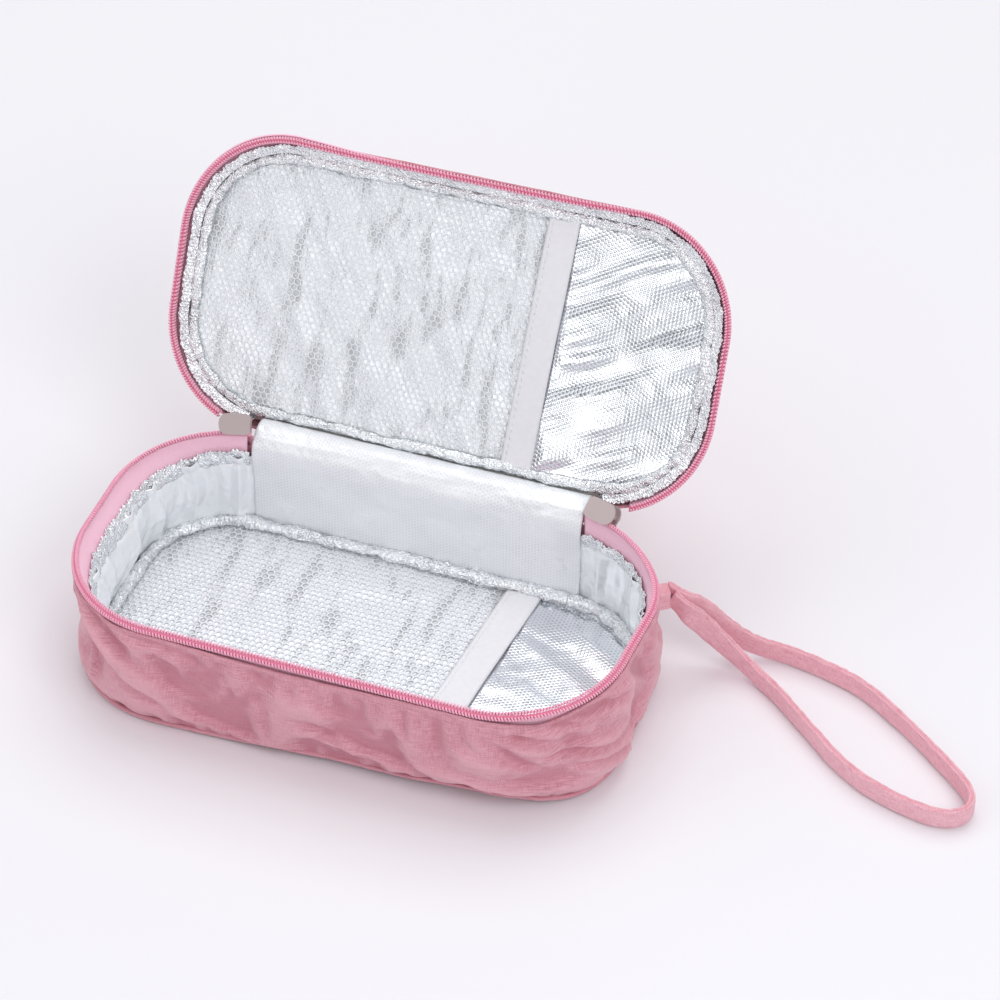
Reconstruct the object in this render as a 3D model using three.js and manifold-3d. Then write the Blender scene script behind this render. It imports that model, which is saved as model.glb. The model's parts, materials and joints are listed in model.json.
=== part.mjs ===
// An insulated travel case for insulin: a padded base and a zipped lid, modelled open on a table.
// Millimetres, +Z up. The origin is on the underside of the base, the lid hinges at the back (+Y).
// The base stands still, the lid is built closed in its own group and then turned open.

import * as THREE from 'three';
import { mergeGeometries, mergeVertices } from 'three/addons/utils/BufferGeometryUtils.js';
import Module from 'manifold-3d';

const manifold = await Module();
manifold.setup();

// Driving dimensions of the case
const RIM = { length: 202, width: 110.5, radius: 43.5, x: 0, y: 0, turn: 0 };
const FOOT = { length: 199, width: 106.2, radius: 39.5, x: 0, y: 1.6, turn: 0 };
const LID_RIM = { length: 205.6, width: 108.2, radius: 40, x: -1.1, y: 0.3, turn: -0.35 };
const LID_TOP = { length: 202.6, width: 107.2, radius: 39.5, x: -2.1, y: 0.6, turn: -0.35 };
const BASE_HEIGHT = 48;
const LID_HEIGHT = 12.4;
const SEAM_X = 63;
const OPEN_ANGLE = 120;
const HINGE = { y: 54.3, z: 45.2 };
const GAP = 0.3;
const ZIP_LEVEL = BASE_HEIGHT + GAP;

// Thicknesses of the layers, from the outside in
const FABRIC = 1.0;
const FOAM = 2.4;
const FOIL = 0.7;
const TAPE = 0.8;
const PIPING = 2.4;

// The base wall swells a little between its bottom edge and its rim
const SWELL_KNOTS = [[0, 0], [12, 0.9], [28, 1.0], [40, 0.2], [60, 0]];
const CORNER_STEPS = 6;

// Zipper
const COIL_WIDTH = 2.2;
const COIL_HEIGHT = 3.3;
const COIL_INSET = 0.9;
const TAPE_INSET = 1.6;
const SLIDER = { length: 11.5, height: 7.8, plate: 0.8, gap: 4.2, tilt: 45, place: 16.4, out: 0.1, z: 48.4 };
const CROWN = { reach: 5.1, half: 0.5 };
const LID_ZIP_START_X = 78.5;
const PULL_LENGTH = 24;
const PULL_WIDTH = 6;
const PULL_THICKNESS = 1.4;

// Pockets: the mouth of each net lies under a band of white tape
const NET_PITCH = 10;
const NET_STRAND = 1.7;
const NET_HEM = 2.6;
const POCKET_TAPE_WIDTH = 11.5;
const BASE_MOUTH_X = 33.5;
const LID_MOUTH_X = 28.3;

// Wrist strap: its route as a hand-placed list, from the back layer of its root round to the front one
const STRAP_WIDTH = 8;
const STRAP_THICKNESS = 2.6;
const STRAP_ROOT = { place: 58, bottom: 27, length: 5, spread: 1.75 };
const STRAP_ROUTE = [
  [105, 39.4, 29.8], [110.2, 42.4, 25], [115.6, 45.5, 17.5], [122.3, 48.4, 10], [130.6, 50.6, 5.4],
  [141.6, 50.7, 4.4], [153.3, 48.6, 4.3], [164.5, 45.4, 4.3], [173.7, 41.1, 4.3], [182.2, 35.4, 4.3],
  [190.2, 29.7, 4.3], [197.7, 23.9, 4.3], [204.7, 18.2, 4.3], [211, 12.9, 4.3], [216.2, 7.7, 4.3],
  [219.2, 2.4, 4.3], [218.1, -3.2, 4.3], [213.4, -6.6, 4.3], [206.8, -7.4, 4.3], [199, -6.2, 4.3],
  [190.3, -3.7, 4.3], [182.2, -0.6, 4.3], [174.6, 3.8, 4.3], [167.5, 9, 4.3], [160.5, 15.1, 4.3],
  [153, 21.5, 4.3], [143.7, 29.6, 4.3], [134.2, 36.3, 4.5], [125.3, 40.3, 7.5], [117.7, 40.7, 13.5],
  [111.6, 39, 21], [106.8, 36.6, 27.5],
];

// Materials
const colours = {
  fabric: [0xcf8f9f, 0.95, 0],
  trim: [0xe9809f, 0.8, 0],
  foil: [0xcfd3d8, 0.3, 0.85],
  foam: [0xf2efe9, 0.95, 0],
  net: [0xf4f5f8, 0.8, 0],
  metal: [0xbdb7b2, 0.45, 0.7],
};

function material(name) {
  const [color, roughness, metalness] = colours[name];
  return new THREE.MeshStandardMaterial({ color, roughness, metalness });
}

function piece(name, finish, geometry) {
  const mesh = new THREE.Mesh(geometry, material(finish));
  mesh.name = name;
  return mesh;
}

// Outlines: a rounded rectangle that changes smoothly with height
function mixed(low, high, share) {
  const result = {};
  for (const key of Object.keys(low)) result[key] = low[key] + (high[key] - low[key]) * share;
  return result;
}

function swell(z) {
  for (let i = 1; i < SWELL_KNOTS.length; i++) {
    const [z0, s0] = SWELL_KNOTS[i - 1];
    const [z1, s1] = SWELL_KNOTS[i];
    if (z <= z1) return s0 + (s1 - s0) * (z - z0) / (z1 - z0);
  }
  return 0;
}

const baseOutline = (z) => ({ ...mixed(FOOT, RIM, z / BASE_HEIGHT), swell: swell(z) });
const RIM_OUTLINE = baseOutline(BASE_HEIGHT);
const lidOutline = (z) => ({ ...mixed(LID_RIM, LID_TOP, z / LID_HEIGHT), swell: 0 });

// A place on the outline is a corner (0 back right, 1 front right, 2 front left, 3 back left) and
// an angle in degrees from +X. An inset measures inwards from the outer face.
const CORNER_SIGNS = [[1, 1], [1, -1], [-1, -1], [-1, 1]];

function outlinePoint(outline, corner, angle, inset) {
  const [sx, sy] = CORNER_SIGNS[corner];
  const reach = outline.radius + outline.swell - inset;
  const a = THREE.MathUtils.degToRad(angle);
  const x = sx * (outline.length / 2 - outline.radius) + reach * Math.cos(a);
  const y = sy * (outline.width / 2 - outline.radius) + reach * Math.sin(a);
  const t = THREE.MathUtils.degToRad(outline.turn);
  return new THREE.Vector2(
    outline.x + x * Math.cos(t) - y * Math.sin(t),
    outline.y + x * Math.sin(t) + y * Math.cos(t),
  );
}

function cornerAngles(first, last) {
  const step = 90 / CORNER_STEPS;
  const angles = [first];
  for (let a = Math.ceil(first / step) * step - step; a > last + 1; a -= step) {
    if (first - a > 1) angles.push(a);
  }
  angles.push(last);
  return angles;
}

// Angle on the back right corner at which the outline stands at a given x
function angleAtX(outline, x) {
  const centre = outline.length / 2 - outline.radius;
  return THREE.MathUtils.radToDeg(Math.acos((x - centre) / outline.radius));
}

function fullPath() {
  const places = [];
  for (let corner = 0; corner < 4; corner++) {
    const from = 90 - 90 * corner;
    for (const angle of cornerAngles(from, from - 90)) places.push({ corner, angle });
  }
  return places;
}

// The way round the front, from a given x on the back right to the same x on the back left
function frontPath(outline, startX) {
  const start = angleAtX(outline, startX);
  const places = cornerAngles(start, 0).map((angle) => ({ corner: 0, angle }));
  for (const angle of cornerAngles(0, -90)) places.push({ corner: 1, angle });
  for (const angle of cornerAngles(-90, -180)) places.push({ corner: 2, angle });
  const left = cornerAngles(start, 0).reverse().map((angle) => ({ corner: 3, angle: -180 - angle }));
  return [...places, ...left];
}

// The straight back between the two seams
function backPath(outline, endX) {
  const end = angleAtX(outline, endX);
  return [
    { corner: 3, angle: 180 - end }, { corner: 3, angle: 90 }, { corner: 0, angle: 90 },
    { corner: 0, angle: end },
  ];
}

// Solids
function signedVolume(positions, faces) {
  const [a, b, c] = [new THREE.Vector3(), new THREE.Vector3(), new THREE.Vector3()];
  let sum = 0;
  for (let i = 0; i < faces.length; i += 3) {
    a.fromArray(positions, faces[i] * 3);
    b.fromArray(positions, faces[i + 1] * 3);
    c.fromArray(positions, faces[i + 2] * 3);
    sum += a.dot(b.cross(c)) / 6;
  }
  return sum;
}

function indexed(positions, faces) {
  if (signedVolume(positions, faces) < 0) faces.reverse();
  const geometry = new THREE.BufferGeometry();
  geometry.setAttribute('position', new THREE.Float32BufferAttribute(positions, 3));
  geometry.setIndex(faces);
  geometry.computeVertexNormals();
  return geometry;
}

// A section of (inset, z) pairs carried all round the outline, or along an open path with flat ends
function band(section, outlineAt, openPath) {
  const closed = !openPath;
  const path = openPath ?? fullPath();
  const sides = section.length;
  const positions = [];
  for (const { corner, angle } of path) {
    for (const [inset, z] of section) {
      const p = outlinePoint(outlineAt(z), corner, angle, inset);
      positions.push(p.x, p.y, z);
    }
  }
  const faces = [];
  const rings = path.length;
  for (let i = 0; i < (closed ? rings : rings - 1); i++) {
    for (let j = 0; j < sides; j++) {
      const a = i * sides + j;
      const b = i * sides + (j + 1) % sides;
      const c = ((i + 1) % rings) * sides + (j + 1) % sides;
      const d = ((i + 1) % rings) * sides + j;
      faces.push(a, b, c, a, c, d);
    }
  }
  if (!closed) {
    const contour = section.map(([inset, z]) => new THREE.Vector2(inset, z));
    const order = THREE.ShapeUtils.area(contour) > 0;
    for (const [i, j, k] of THREE.ShapeUtils.triangulateShape(contour.slice(), [])) {
      const turned = THREE.ShapeUtils.area([contour[i], contour[j], contour[k]]) > 0;
      const [u, v, w] = turned === order ? [i, j, k] : [k, j, i];
      const end = (rings - 1) * sides;
      faces.push(w, v, u, end + u, end + v, end + w);
    }
  }
  return indexed(positions, faces);
}

// The section of a wall layer, with a point at every knot of the swelling so that layers stay parallel
function wallSection(outer, inner, bottom, top) {
  const knots = SWELL_KNOTS.map(([z]) => z).filter((z) => z > bottom + 0.5 && z < top - 0.5);
  const heights = [bottom, ...knots, top];
  return [...heights.map((z) => [outer, z]), ...heights.reverse().map((z) => [inner, z])];
}

// A round-edged section for piping and bindings
function puffySection(inset, bottom, width, height) {
  const [u, v] = [width * 0.28, height * 0.3];
  return [
    [inset + u, bottom], [inset + width - u, bottom], [inset + width, bottom + v],
    [inset + width, bottom + height - v], [inset + width - u, bottom + height],
    [inset + u, bottom + height], [inset, bottom + height - v], [inset, bottom + v],
  ];
}

// A flat sheet of the case's outline, with optional limits in x
function sheetContour(outline, inset, minX = -Infinity, maxX = Infinity) {
  let contour = fullPath().map(({ corner, angle }) => outlinePoint(outline, corner, angle, inset));
  contour = cutAtX(contour, minX, 1);
  return cutAtX(contour, maxX, -1);
}

function cutAtX(contour, limit, side) {
  if (!Number.isFinite(limit)) return contour;
  const kept = [];
  contour.forEach((p, i) => {
    const q = contour[(i + 1) % contour.length];
    const inside = side * (p.x - limit) >= 0;
    const nextInside = side * (q.x - limit) >= 0;
    if (inside) kept.push(p);
    if (inside !== nextInside) kept.push(p.clone().lerp(q, (limit - p.x) / (q.x - p.x)));
  });
  return kept;
}

function plate(contour, bottom, thickness) {
  const shape = new THREE.Shape(contour);
  const geometry = new THREE.ExtrudeGeometry(shape, { depth: thickness, bevelEnabled: false });
  return geometry.translate(0, 0, bottom);
}

// The net: diamond gaps on a staggered grid, wherever a whole gap fits inside the hem
function netGaps(contour) {
  const reach = NET_PITCH / 2 - NET_STRAND * Math.SQRT1_2;
  const box = new THREE.Box2().setFromPoints(contour);
  const gaps = [];
  const half = NET_PITCH / 2;
  for (let row = 0; box.min.y + row * half < box.max.y; row++) {
    const y = box.min.y + row * half;
    for (let x = box.max.x - NET_HEM - reach - (row % 2) * half; x > box.min.x; x -= NET_PITCH) {
      const gap = [[reach, 0], [0, reach], [-reach, 0], [0, -reach]].map(
        ([dx, dy]) => new THREE.Vector2(x + dx, y + dy),
      );
      if (gap.every((p) => depthInside(contour, p) > NET_HEM)) gaps.push(gap);
    }
  }
  return gaps;
}

// How far a point lies inside a convex clockwise contour
function depthInside(contour, point) {
  let depth = Infinity;
  contour.forEach((p, i) => {
    const along = contour[(i + 1) % contour.length].clone().sub(p);
    if (along.length() < 1e-6) return;
    depth = Math.min(depth, point.clone().sub(p).cross(along) / along.length());
  });
  return depth;
}

// Joining closed geometries into one solid
function solidOf(geometry) {
  const bare = geometry.clone();
  bare.deleteAttribute('normal');
  bare.deleteAttribute('uv');
  const merged = mergeVertices(bare, 1e-4);
  return new manifold.Manifold(new manifold.Mesh({
    numProp: 3,
    vertProperties: new Float32Array(merged.attributes.position.array),
    triVerts: new Uint32Array(merged.index.array),
  }));
}

function geometryOf(solid) {
  const mesh = solid.getMesh();
  return indexed(Array.from(mesh.vertProperties), Array.from(mesh.triVerts));
}

function joined(geometries) {
  return geometryOf(geometries.map(solidOf).reduce((a, b) => a.add(b)));
}

// A sheet with the gaps of the net cut through it
function netSheet(contour, bottom, thickness) {
  const cutters = netGaps(contour).map((gap) => plate(gap, bottom - 1, thickness + 2));
  const sheet = solidOf(plate(contour, bottom, thickness));
  return geometryOf(sheet.subtract(solidOf(mergeGeometries(cutters))));
}

function boxFrom([x0, y0, z0], [x1, y1, z1]) {
  const box = new THREE.BoxGeometry(x1 - x0, y1 - y0, z1 - z0);
  return box.translate((x0 + x1) / 2, (y0 + y1) / 2, (z0 + z1) / 2);
}

// An outline in the (y, z) plane drawn out along X between the seams
function stripAlongX(profile, halfLength) {
  const shape = new THREE.Shape(profile.map(([y, z]) => new THREE.Vector2(y, z)));
  const geometry = new THREE.ExtrudeGeometry(shape, { depth: 2 * halfLength, bevelEnabled: false });
  geometry.rotateX(Math.PI / 2);
  geometry.rotateZ(Math.PI / 2);
  return geometry.translate(-halfLength, 0, 0);
}

// Heights of the layers in the base
const floorTop = 1.2 + GAP + 3.0;
const wallBottom = PIPING + 0.1;
const wallTop = 42.5;
const foamTop = 34.5;
const backTop = 38;
const liner = { outer: FABRIC + FOAM + 2 * GAP, inner: FABRIC + FOAM + FOIL + 2 * GAP };
const floorFoil = { bottom: floorTop + GAP, top: floorTop + GAP + 0.6 };
const netLevel = floorFoil.top + 0.6;
const bindingWidth = 4.5;
const netInset = liner.inner + GAP + bindingWidth + 0.4;

function linerSection() {
  const flare = TAPE_INSET + TAPE + GAP;
  const side = wallSection(liner.outer, liner.inner, floorTop + GAP, foamTop);
  const count = side.length / 2;
  return [
    ...side.slice(0, count), [flare, foamTop + 1.6], [flare, foamTop + 4],
    [flare + FOIL, foamTop + 4], [flare + FOIL, foamTop + 2], ...side.slice(count),
  ];
}

function coilSection(bottom) {
  return puffySection(COIL_INSET, bottom, COIL_WIDTH, COIL_HEIGHT);
}

function zipperTapeSection(bottom, top) {
  return [[TAPE_INSET, bottom], [TAPE_INSET, top], [TAPE_INSET + TAPE, top], [TAPE_INSET + TAPE, bottom]];
}

function baseGroup() {
  const group = new THREE.Group();
  const front = frontPath(RIM, SEAM_X + GAP / 2 + 0.05);
  const back = backPath(RIM, SEAM_X - GAP / 2 - 0.05);
  const around = (name, finish, section, path) => {
    group.add(piece(name, finish, band(section, baseOutline, path)));
  };
  const sheet = (name, finish, inset, bottom, thickness) => {
    group.add(piece(name, finish, plate(sheetContour(baseOutline(bottom), inset), bottom, thickness)));
  };
  sheet('base_bottom_panel', 'fabric', 2.2, 0, 1.2);
  around('base_bottom_piping', 'fabric', puffySection(-0.5, 0.1, PIPING, PIPING - 0.2));
  around('base_side_wall', 'fabric', wallSection(0, FABRIC, wallBottom, wallTop), front);
  around('base_back_wall', 'fabric', wallSection(0, FABRIC, wallBottom, backTop + 2.2), back);
  sheet('base_floor_foam', 'foam', 2.2, 1.2 + GAP, 3.0);
  const foam = [FABRIC + GAP, FABRIC + GAP + FOAM, floorTop + GAP];
  around('base_side_foam', 'foam', wallSection(...foam, foamTop), front);
  around('base_back_foam', 'foam', wallSection(...foam, backTop - 1.5), back);
  sheet('base_floor_liner', 'foil', liner.inner + GAP, floorFoil.bottom, 0.6);
  around('base_side_liner', 'foil', linerSection(), front);
  around('base_back_liner', 'foil', wallSection(liner.outer, liner.inner, floorTop + GAP, backTop), back);
  const binding = puffySection(liner.inner + GAP, floorFoil.top + GAP, bindingWidth, 4);
  around('base_floor_binding', 'foil', binding);
  around('base_zipper_tape', 'trim', zipperTapeSection(36, BASE_HEIGHT - COIL_HEIGHT - 2 * GAP), front);
  around('base_zipper_coil', 'trim', coilSection(BASE_HEIGHT - COIL_HEIGHT), front);
  const floor = baseOutline(netLevel);
  const net = sheetContour(floor, netInset, -Infinity, BASE_MOUTH_X - GAP);
  group.add(piece('base_pocket_net', 'net', netSheet(net, netLevel, 0.6)));
  const tape = sheetContour(floor, netInset, BASE_MOUTH_X, BASE_MOUTH_X + POCKET_TAPE_WIDTH);
  group.add(piece('base_pocket_tape', 'net', plate(tape, netLevel, 1.0)));
  return group;
}

// The lid is built closed, with its z running up from the middle of the zipper
const lidHeights = { wall: 5.6, flare: 5.2, panel: 7.6, foam: 8.5, top: 11.2 };
const lidLinerInset = 4.9;

function lidGroup() {
  const inner = new THREE.Group();
  inner.position.set(0, -HINGE.y, ZIP_LEVEL - HINGE.z);
  const front = frontPath(LID_RIM, SEAM_X - LID_TOP.x + GAP);
  const zipped = frontPath(LID_RIM, LID_ZIP_START_X);
  const around = (name, finish, section, path) => {
    inner.add(piece(name, finish, band(section, lidOutline, path)));
  };
  const sheet = (name, finish, inset, bottom, thickness) => {
    inner.add(piece(name, finish, plate(sheetContour(lidOutline(bottom), inset), bottom, thickness)));
  };
  const wallEnd = LID_HEIGHT - PIPING + 0.2 - GAP;
  sheet('lid_top_panel', 'fabric', 2.2, lidHeights.top, 1.2);
  around('lid_top_piping', 'fabric', puffySection(-0.5, wallEnd + GAP, PIPING, PIPING - 0.2));
  around('lid_side_wall', 'fabric', wallSection(0, FABRIC, lidHeights.wall, wallEnd), front);
  sheet('lid_top_foam', 'foam', 2.8, lidHeights.foam, FOAM);
  const panelTop = lidHeights.panel + 0.6;
  const flare = TAPE_INSET + TAPE + GAP;
  const wall = [
    [flare, lidHeights.flare], [flare, lidHeights.flare + 0.8], [lidLinerInset - FOIL, panelTop],
    [lidLinerInset, panelTop], [lidLinerInset, lidHeights.panel], [flare + FOIL, lidHeights.flare],
  ];
  around('lid_side_liner', 'foil', wall, front);
  sheet('lid_panel_liner', 'foil', lidLinerInset + GAP, lidHeights.panel, 0.6);
  const binding = puffySection(lidLinerInset + GAP, lidHeights.panel - GAP - 3, 4, 3);
  around('lid_panel_binding', 'foil', binding);
  around('lid_zipper_tape', 'trim', zipperTapeSection(COIL_HEIGHT + 2 * GAP, panelTop), zipped);
  around('lid_zipper_coil', 'trim', coilSection(GAP), zipped);
  const level = lidHeights.panel - 1.8;
  const outline = lidOutline(level);
  const inset = lidLinerInset + GAP + 4.4;
  const net = sheetContour(outline, inset, -Infinity, LID_MOUTH_X - GAP);
  inner.add(piece('lid_pocket_net', 'net', netSheet(net, level, 0.6)));
  const tape = sheetContour(outline, inset, LID_MOUTH_X, LID_MOUTH_X + POCKET_TAPE_WIDTH);
  inner.add(piece('lid_pocket_tape', 'net', plate(tape, level - 0.4, 1.0)));
  const group = new THREE.Group();
  group.add(inner);
  group.position.set(0, HINGE.y, HINGE.z);
  group.rotation.x = -THREE.MathUtils.degToRad(OPEN_ANGLE);
  return group;
}

// The outline of a layer of even thickness along a line of (y, z) points
function layerOutline(line, thickness) {
  const points = line.map(([y, z]) => new THREE.Vector2(y, z));
  const offsets = points.map((p, i) => {
    const before = p.clone().sub(points[Math.max(i - 1, 0)]).normalize();
    const after = points[Math.min(i + 1, points.length - 1)].clone().sub(p).normalize();
    const along = before.add(after).normalize();
    return new THREE.Vector2(-along.y, along.x).multiplyScalar(thickness / 2);
  });
  const upper = points.map((p, i) => p.clone().add(offsets[i]));
  const lower = points.map((p, i) => p.clone().sub(offsets[i]));
  return [...lower, ...upper.reverse()].map(({ x, y }) => [x, y]);
}

// The two skins of the soft hinge, drawn as they lie with the lid open
function hingeGroup() {
  const group = new THREE.Group();
  const halfLength = SEAM_X - 2 * GAP;
  const outer = [[55, 40.6], [55.1, 42.6], [56.4, 44.2], [58.6, 43.6], [65.6, 39.2]];
  const lining = [
    [51.1, 38.4], [51.2, 43], [52.2, 46], [54.6, 47.9], [57.8, 47.8], [61.2, 46.1], [65.9, 43.4],
  ];
  group.add(piece('hinge_outer_strip', 'fabric', stripAlongX(layerOutline(outer, FABRIC), halfLength)));
  group.add(piece('hinge_liner_strip', 'foil', stripAlongX(layerOutline(lining, FOIL), halfLength)));
  return group;
}

// Slider, in its own axes: x along the zipper away from the seam, y through its two plates to the
// outside, z up; its middle is the origin
function sliderPlate(y0) {
  const half = SLIDER.height / 2;
  const back = -SLIDER.length / 2;
  const tip = SLIDER.length / 2;
  const shape = new THREE.Shape();
  shape.moveTo(back, -half + 1);
  shape.lineTo(back + 1.5, -half);
  shape.lineTo(tip - 3.5, -half);
  shape.quadraticCurveTo(tip, -half, tip, 0);
  shape.quadraticCurveTo(tip, half, tip - 3.5, half);
  shape.lineTo(back + 1.5, half);
  shape.lineTo(back, half - 1);
  shape.closePath();
  const depth = SLIDER.plate;
  const geometry = new THREE.ExtrudeGeometry(shape, { depth, bevelEnabled: false, curveSegments: 4 });
  geometry.rotateX(Math.PI / 2);
  return geometry.translate(0, y0 + depth, 0);
}

function sliderBody(side) {
  const inner = SLIDER.gap / 2;
  const outer = inner + SLIDER.plate;
  const tip = SLIDER.length / 2;
  const flangeTop = SLIDER.height / 2;
  const flange = (y0, y1) => boxFrom([1.5 - tip, y0, flangeTop - SLIDER.plate], [tip - 3.5, y1, flangeTop]);
  const foot = (x) => boxFrom([x, outer - 0.1, -CROWN.half], [x + 1.2, CROWN.reach - 0.2, CROWN.half]);
  const crown = boxFrom(
    [-4.6, CROWN.reach - CROWN.half, -CROWN.half], [4.6, CROWN.reach + CROWN.half, CROWN.half],
  );
  const post = boxFrom([tip - 3.2, -inner - 0.1, -0.8], [tip - 1.2, inner + 0.1, 0.8]);
  const body = joined([
    sliderPlate(-outer), sliderPlate(inner), post, flange(-inner - 0.1, -1), flange(1, inner + 0.1),
    foot(-4.6), foot(3.4), crown,
  ]);
  if (side > 0) return body;
  body.scale(-1, 1, 1);
  return body.setIndex(Array.from(body.index.array).reverse());
}

// A ribbon folded round the slider's crown, which is its origin, and hanging below it as two layers
function pullRibbon() {
  const turned = (radius, k) => {
    const angle = (k + 0.5) * Math.PI / 4;
    return new THREE.Vector2(radius * Math.cos(angle), radius * Math.sin(angle));
  };
  const half = PULL_THICKNESS / 2;
  const strip = (y) => [new THREE.Vector2(y, -PULL_LENGTH), new THREE.Vector2(y, -3)];
  const over = [4, 3, 2, 1, 0, 7].map((k) => turned(1.79, k));
  const shape = new THREE.Shape([...strip(-half), ...over, ...strip(half).reverse()]);
  shape.holes.push(new THREE.Path([0, 1, 2, 3, 4, 5, 6, 7].map((k) => turned(1.14, k))));
  const geometry = new THREE.ExtrudeGeometry(shape, { depth: PULL_WIDTH, bevelEnabled: false });
  geometry.rotateX(Math.PI / 2);
  geometry.rotateZ(Math.PI / 2);
  return geometry.translate(-PULL_WIDTH / 2, 0, 0);
}

// Each slider is parked at the end of the zipper on the back corner's arc, leaning back half way
// between the base's tape and the open lid's
function sliderGroup(side) {
  const group = new THREE.Group();
  const corner = side > 0 ? 0 : 3;
  const angle = side > 0 ? 90 - SLIDER.place : 90 + SLIDER.place;
  const spot = outlinePoint(RIM_OUTLINE, corner, angle, -SLIDER.out);
  const name = side > 0 ? 'right' : 'left';
  const tilt = THREE.MathUtils.degToRad(SLIDER.tilt);
  const body = piece(`slider_${name}`, 'metal', sliderBody(side));
  body.rotation.x = -tilt;
  const pull = piece(`slider_pull_${name}`, 'fabric', pullRibbon());
  pull.position.set(0, CROWN.reach * Math.cos(tilt), -CROWN.reach * Math.sin(tilt));
  group.add(body, pull);
  group.position.set(spot.x, spot.y, SLIDER.z);
  group.rotation.z = THREE.MathUtils.degToRad(angle - 90);
  return group;
}

// Wrist strap and the folded ends by which it is sewn to the right side
function strapPlace() {
  const { place, bottom } = STRAP_ROOT;
  const angle = THREE.MathUtils.degToRad(90 - place);
  const out = new THREE.Vector2(Math.cos(angle), Math.sin(angle));
  const reach = Math.max(...[bottom, bottom + STRAP_WIDTH].map(
    (z) => outlinePoint(baseOutline(z), 0, 90 - place, 0).dot(out),
  ));
  const spot = outlinePoint(baseOutline(bottom), 0, 90 - place, 0);
  const start = spot.add(out.clone().multiplyScalar(reach - spot.dot(out) + GAP));
  return { out, along: new THREE.Vector2(out.y, -out.x), start };
}

function strapPieces() {
  const { out, along, start } = strapPlace();
  const { bottom, length, spread } = STRAP_ROOT;
  const at = (forward, aside) => start.clone().addScaledVector(out, forward).addScaledVector(along, aside);
  const half = spread + STRAP_THICKNESS / 2;
  const plan = [at(0, -half - 0.6), at(length, -half), at(length, half), at(0, half + 0.6)];
  const root = plate(plan, bottom, STRAP_WIDTH);
  const middle = bottom + STRAP_WIDTH / 2;
  const end = (aside, forward) => {
    const p = at(length + GAP + forward, aside);
    return new THREE.Vector3(p.x, p.y, middle);
  };
  const points = [
    end(-spread, 0), end(-spread, 0.6), ...STRAP_ROUTE.map((p) => new THREE.Vector3(...p)),
    end(spread, 0.6), end(spread, 0),
  ];
  const route = new THREE.CatmullRomCurve3(points, false, 'centripetal');
  const [w, t] = [STRAP_WIDTH / 2, STRAP_THICKNESS / 2];
  const section = new THREE.Shape([
    [w, -t * 0.5], [w, t * 0.5], [w - 0.8, t], [0.8 - w, t], [-w, t * 0.5], [-w, -t * 0.5],
    [0.8 - w, -t], [w - 0.8, -t],
  ].map(([x, y]) => new THREE.Vector2(x, y)));
  const strap = new THREE.ExtrudeGeometry(section, { steps: 78, extrudePath: route, bevelEnabled: false });
  return [piece('strap_root', 'fabric', root), piece('wrist_strap', 'fabric', strap)];
}

const insulinCase = new THREE.Group();
insulinCase.add(baseGroup(), lidGroup(), hingeGroup(), sliderGroup(-1), sliderGroup(1));
insulinCase.add(...strapPieces());

export default insulinCase;
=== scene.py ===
"""An open insulin cooling case of pink melange fabric with a foil lining, on a pale table."""

import json
import math

import bmesh
import bpy
import numpy as np
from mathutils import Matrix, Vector

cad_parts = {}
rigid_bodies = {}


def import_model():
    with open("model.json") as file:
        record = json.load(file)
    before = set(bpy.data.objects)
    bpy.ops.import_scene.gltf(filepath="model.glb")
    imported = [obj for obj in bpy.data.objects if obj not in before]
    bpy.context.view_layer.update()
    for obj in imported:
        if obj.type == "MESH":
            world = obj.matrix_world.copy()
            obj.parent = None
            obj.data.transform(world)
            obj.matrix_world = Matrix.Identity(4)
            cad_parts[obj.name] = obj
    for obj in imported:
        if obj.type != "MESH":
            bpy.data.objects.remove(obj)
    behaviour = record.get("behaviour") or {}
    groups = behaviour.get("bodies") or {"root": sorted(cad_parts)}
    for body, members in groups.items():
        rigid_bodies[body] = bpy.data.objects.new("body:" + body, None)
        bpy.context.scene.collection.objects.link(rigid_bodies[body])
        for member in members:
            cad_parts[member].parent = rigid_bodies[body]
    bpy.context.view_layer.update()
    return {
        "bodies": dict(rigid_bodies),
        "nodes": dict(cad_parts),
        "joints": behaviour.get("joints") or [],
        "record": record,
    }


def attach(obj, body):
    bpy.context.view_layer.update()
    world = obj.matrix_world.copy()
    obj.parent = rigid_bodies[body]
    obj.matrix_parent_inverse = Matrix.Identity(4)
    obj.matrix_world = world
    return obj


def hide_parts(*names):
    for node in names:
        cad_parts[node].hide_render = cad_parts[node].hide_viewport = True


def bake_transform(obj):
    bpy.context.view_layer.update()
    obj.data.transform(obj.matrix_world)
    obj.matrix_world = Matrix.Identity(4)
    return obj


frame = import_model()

MM = 0.001
RIM = {"length": 202, "width": 110.5, "radius": 43.5, "x": 0, "y": 0, "turn": 0}
FOOT = {"length": 199, "width": 106.2, "radius": 39.5, "x": 0, "y": 1.6, "turn": 0}
LID_RIM = {"length": 205.6, "width": 108.2, "radius": 40, "x": -1.1, "y": 0.3, "turn": -0.35}
LID_TOP = {"length": 202.6, "width": 107.2, "radius": 39.5, "x": -2.1, "y": 0.6, "turn": -0.35}
BASE_HEIGHT = 48
LID_HEIGHT = 12.4
ZIP_LEVEL = 48.3
HINGE_Y = 54.3
HINGE_Z = 45.2
OPEN = math.radians(120)
WALL_HEIGHT = 43.4
LID_PANEL = 7.6
NET_RISE = 0.55
COIL_PITCH = 1.15
COIL_WIRE = 0.72
STRAP_GAP = 1.75

# The arc on which each slider runs, how far round it one is parked, and how far out and down its bail hangs
SLIDER_CENTRE = (57.5, 11.75, 48.4)
SLIDER_RADIUS = 43.6
PARKED = 16.4
BAIL = 3.606

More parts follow.
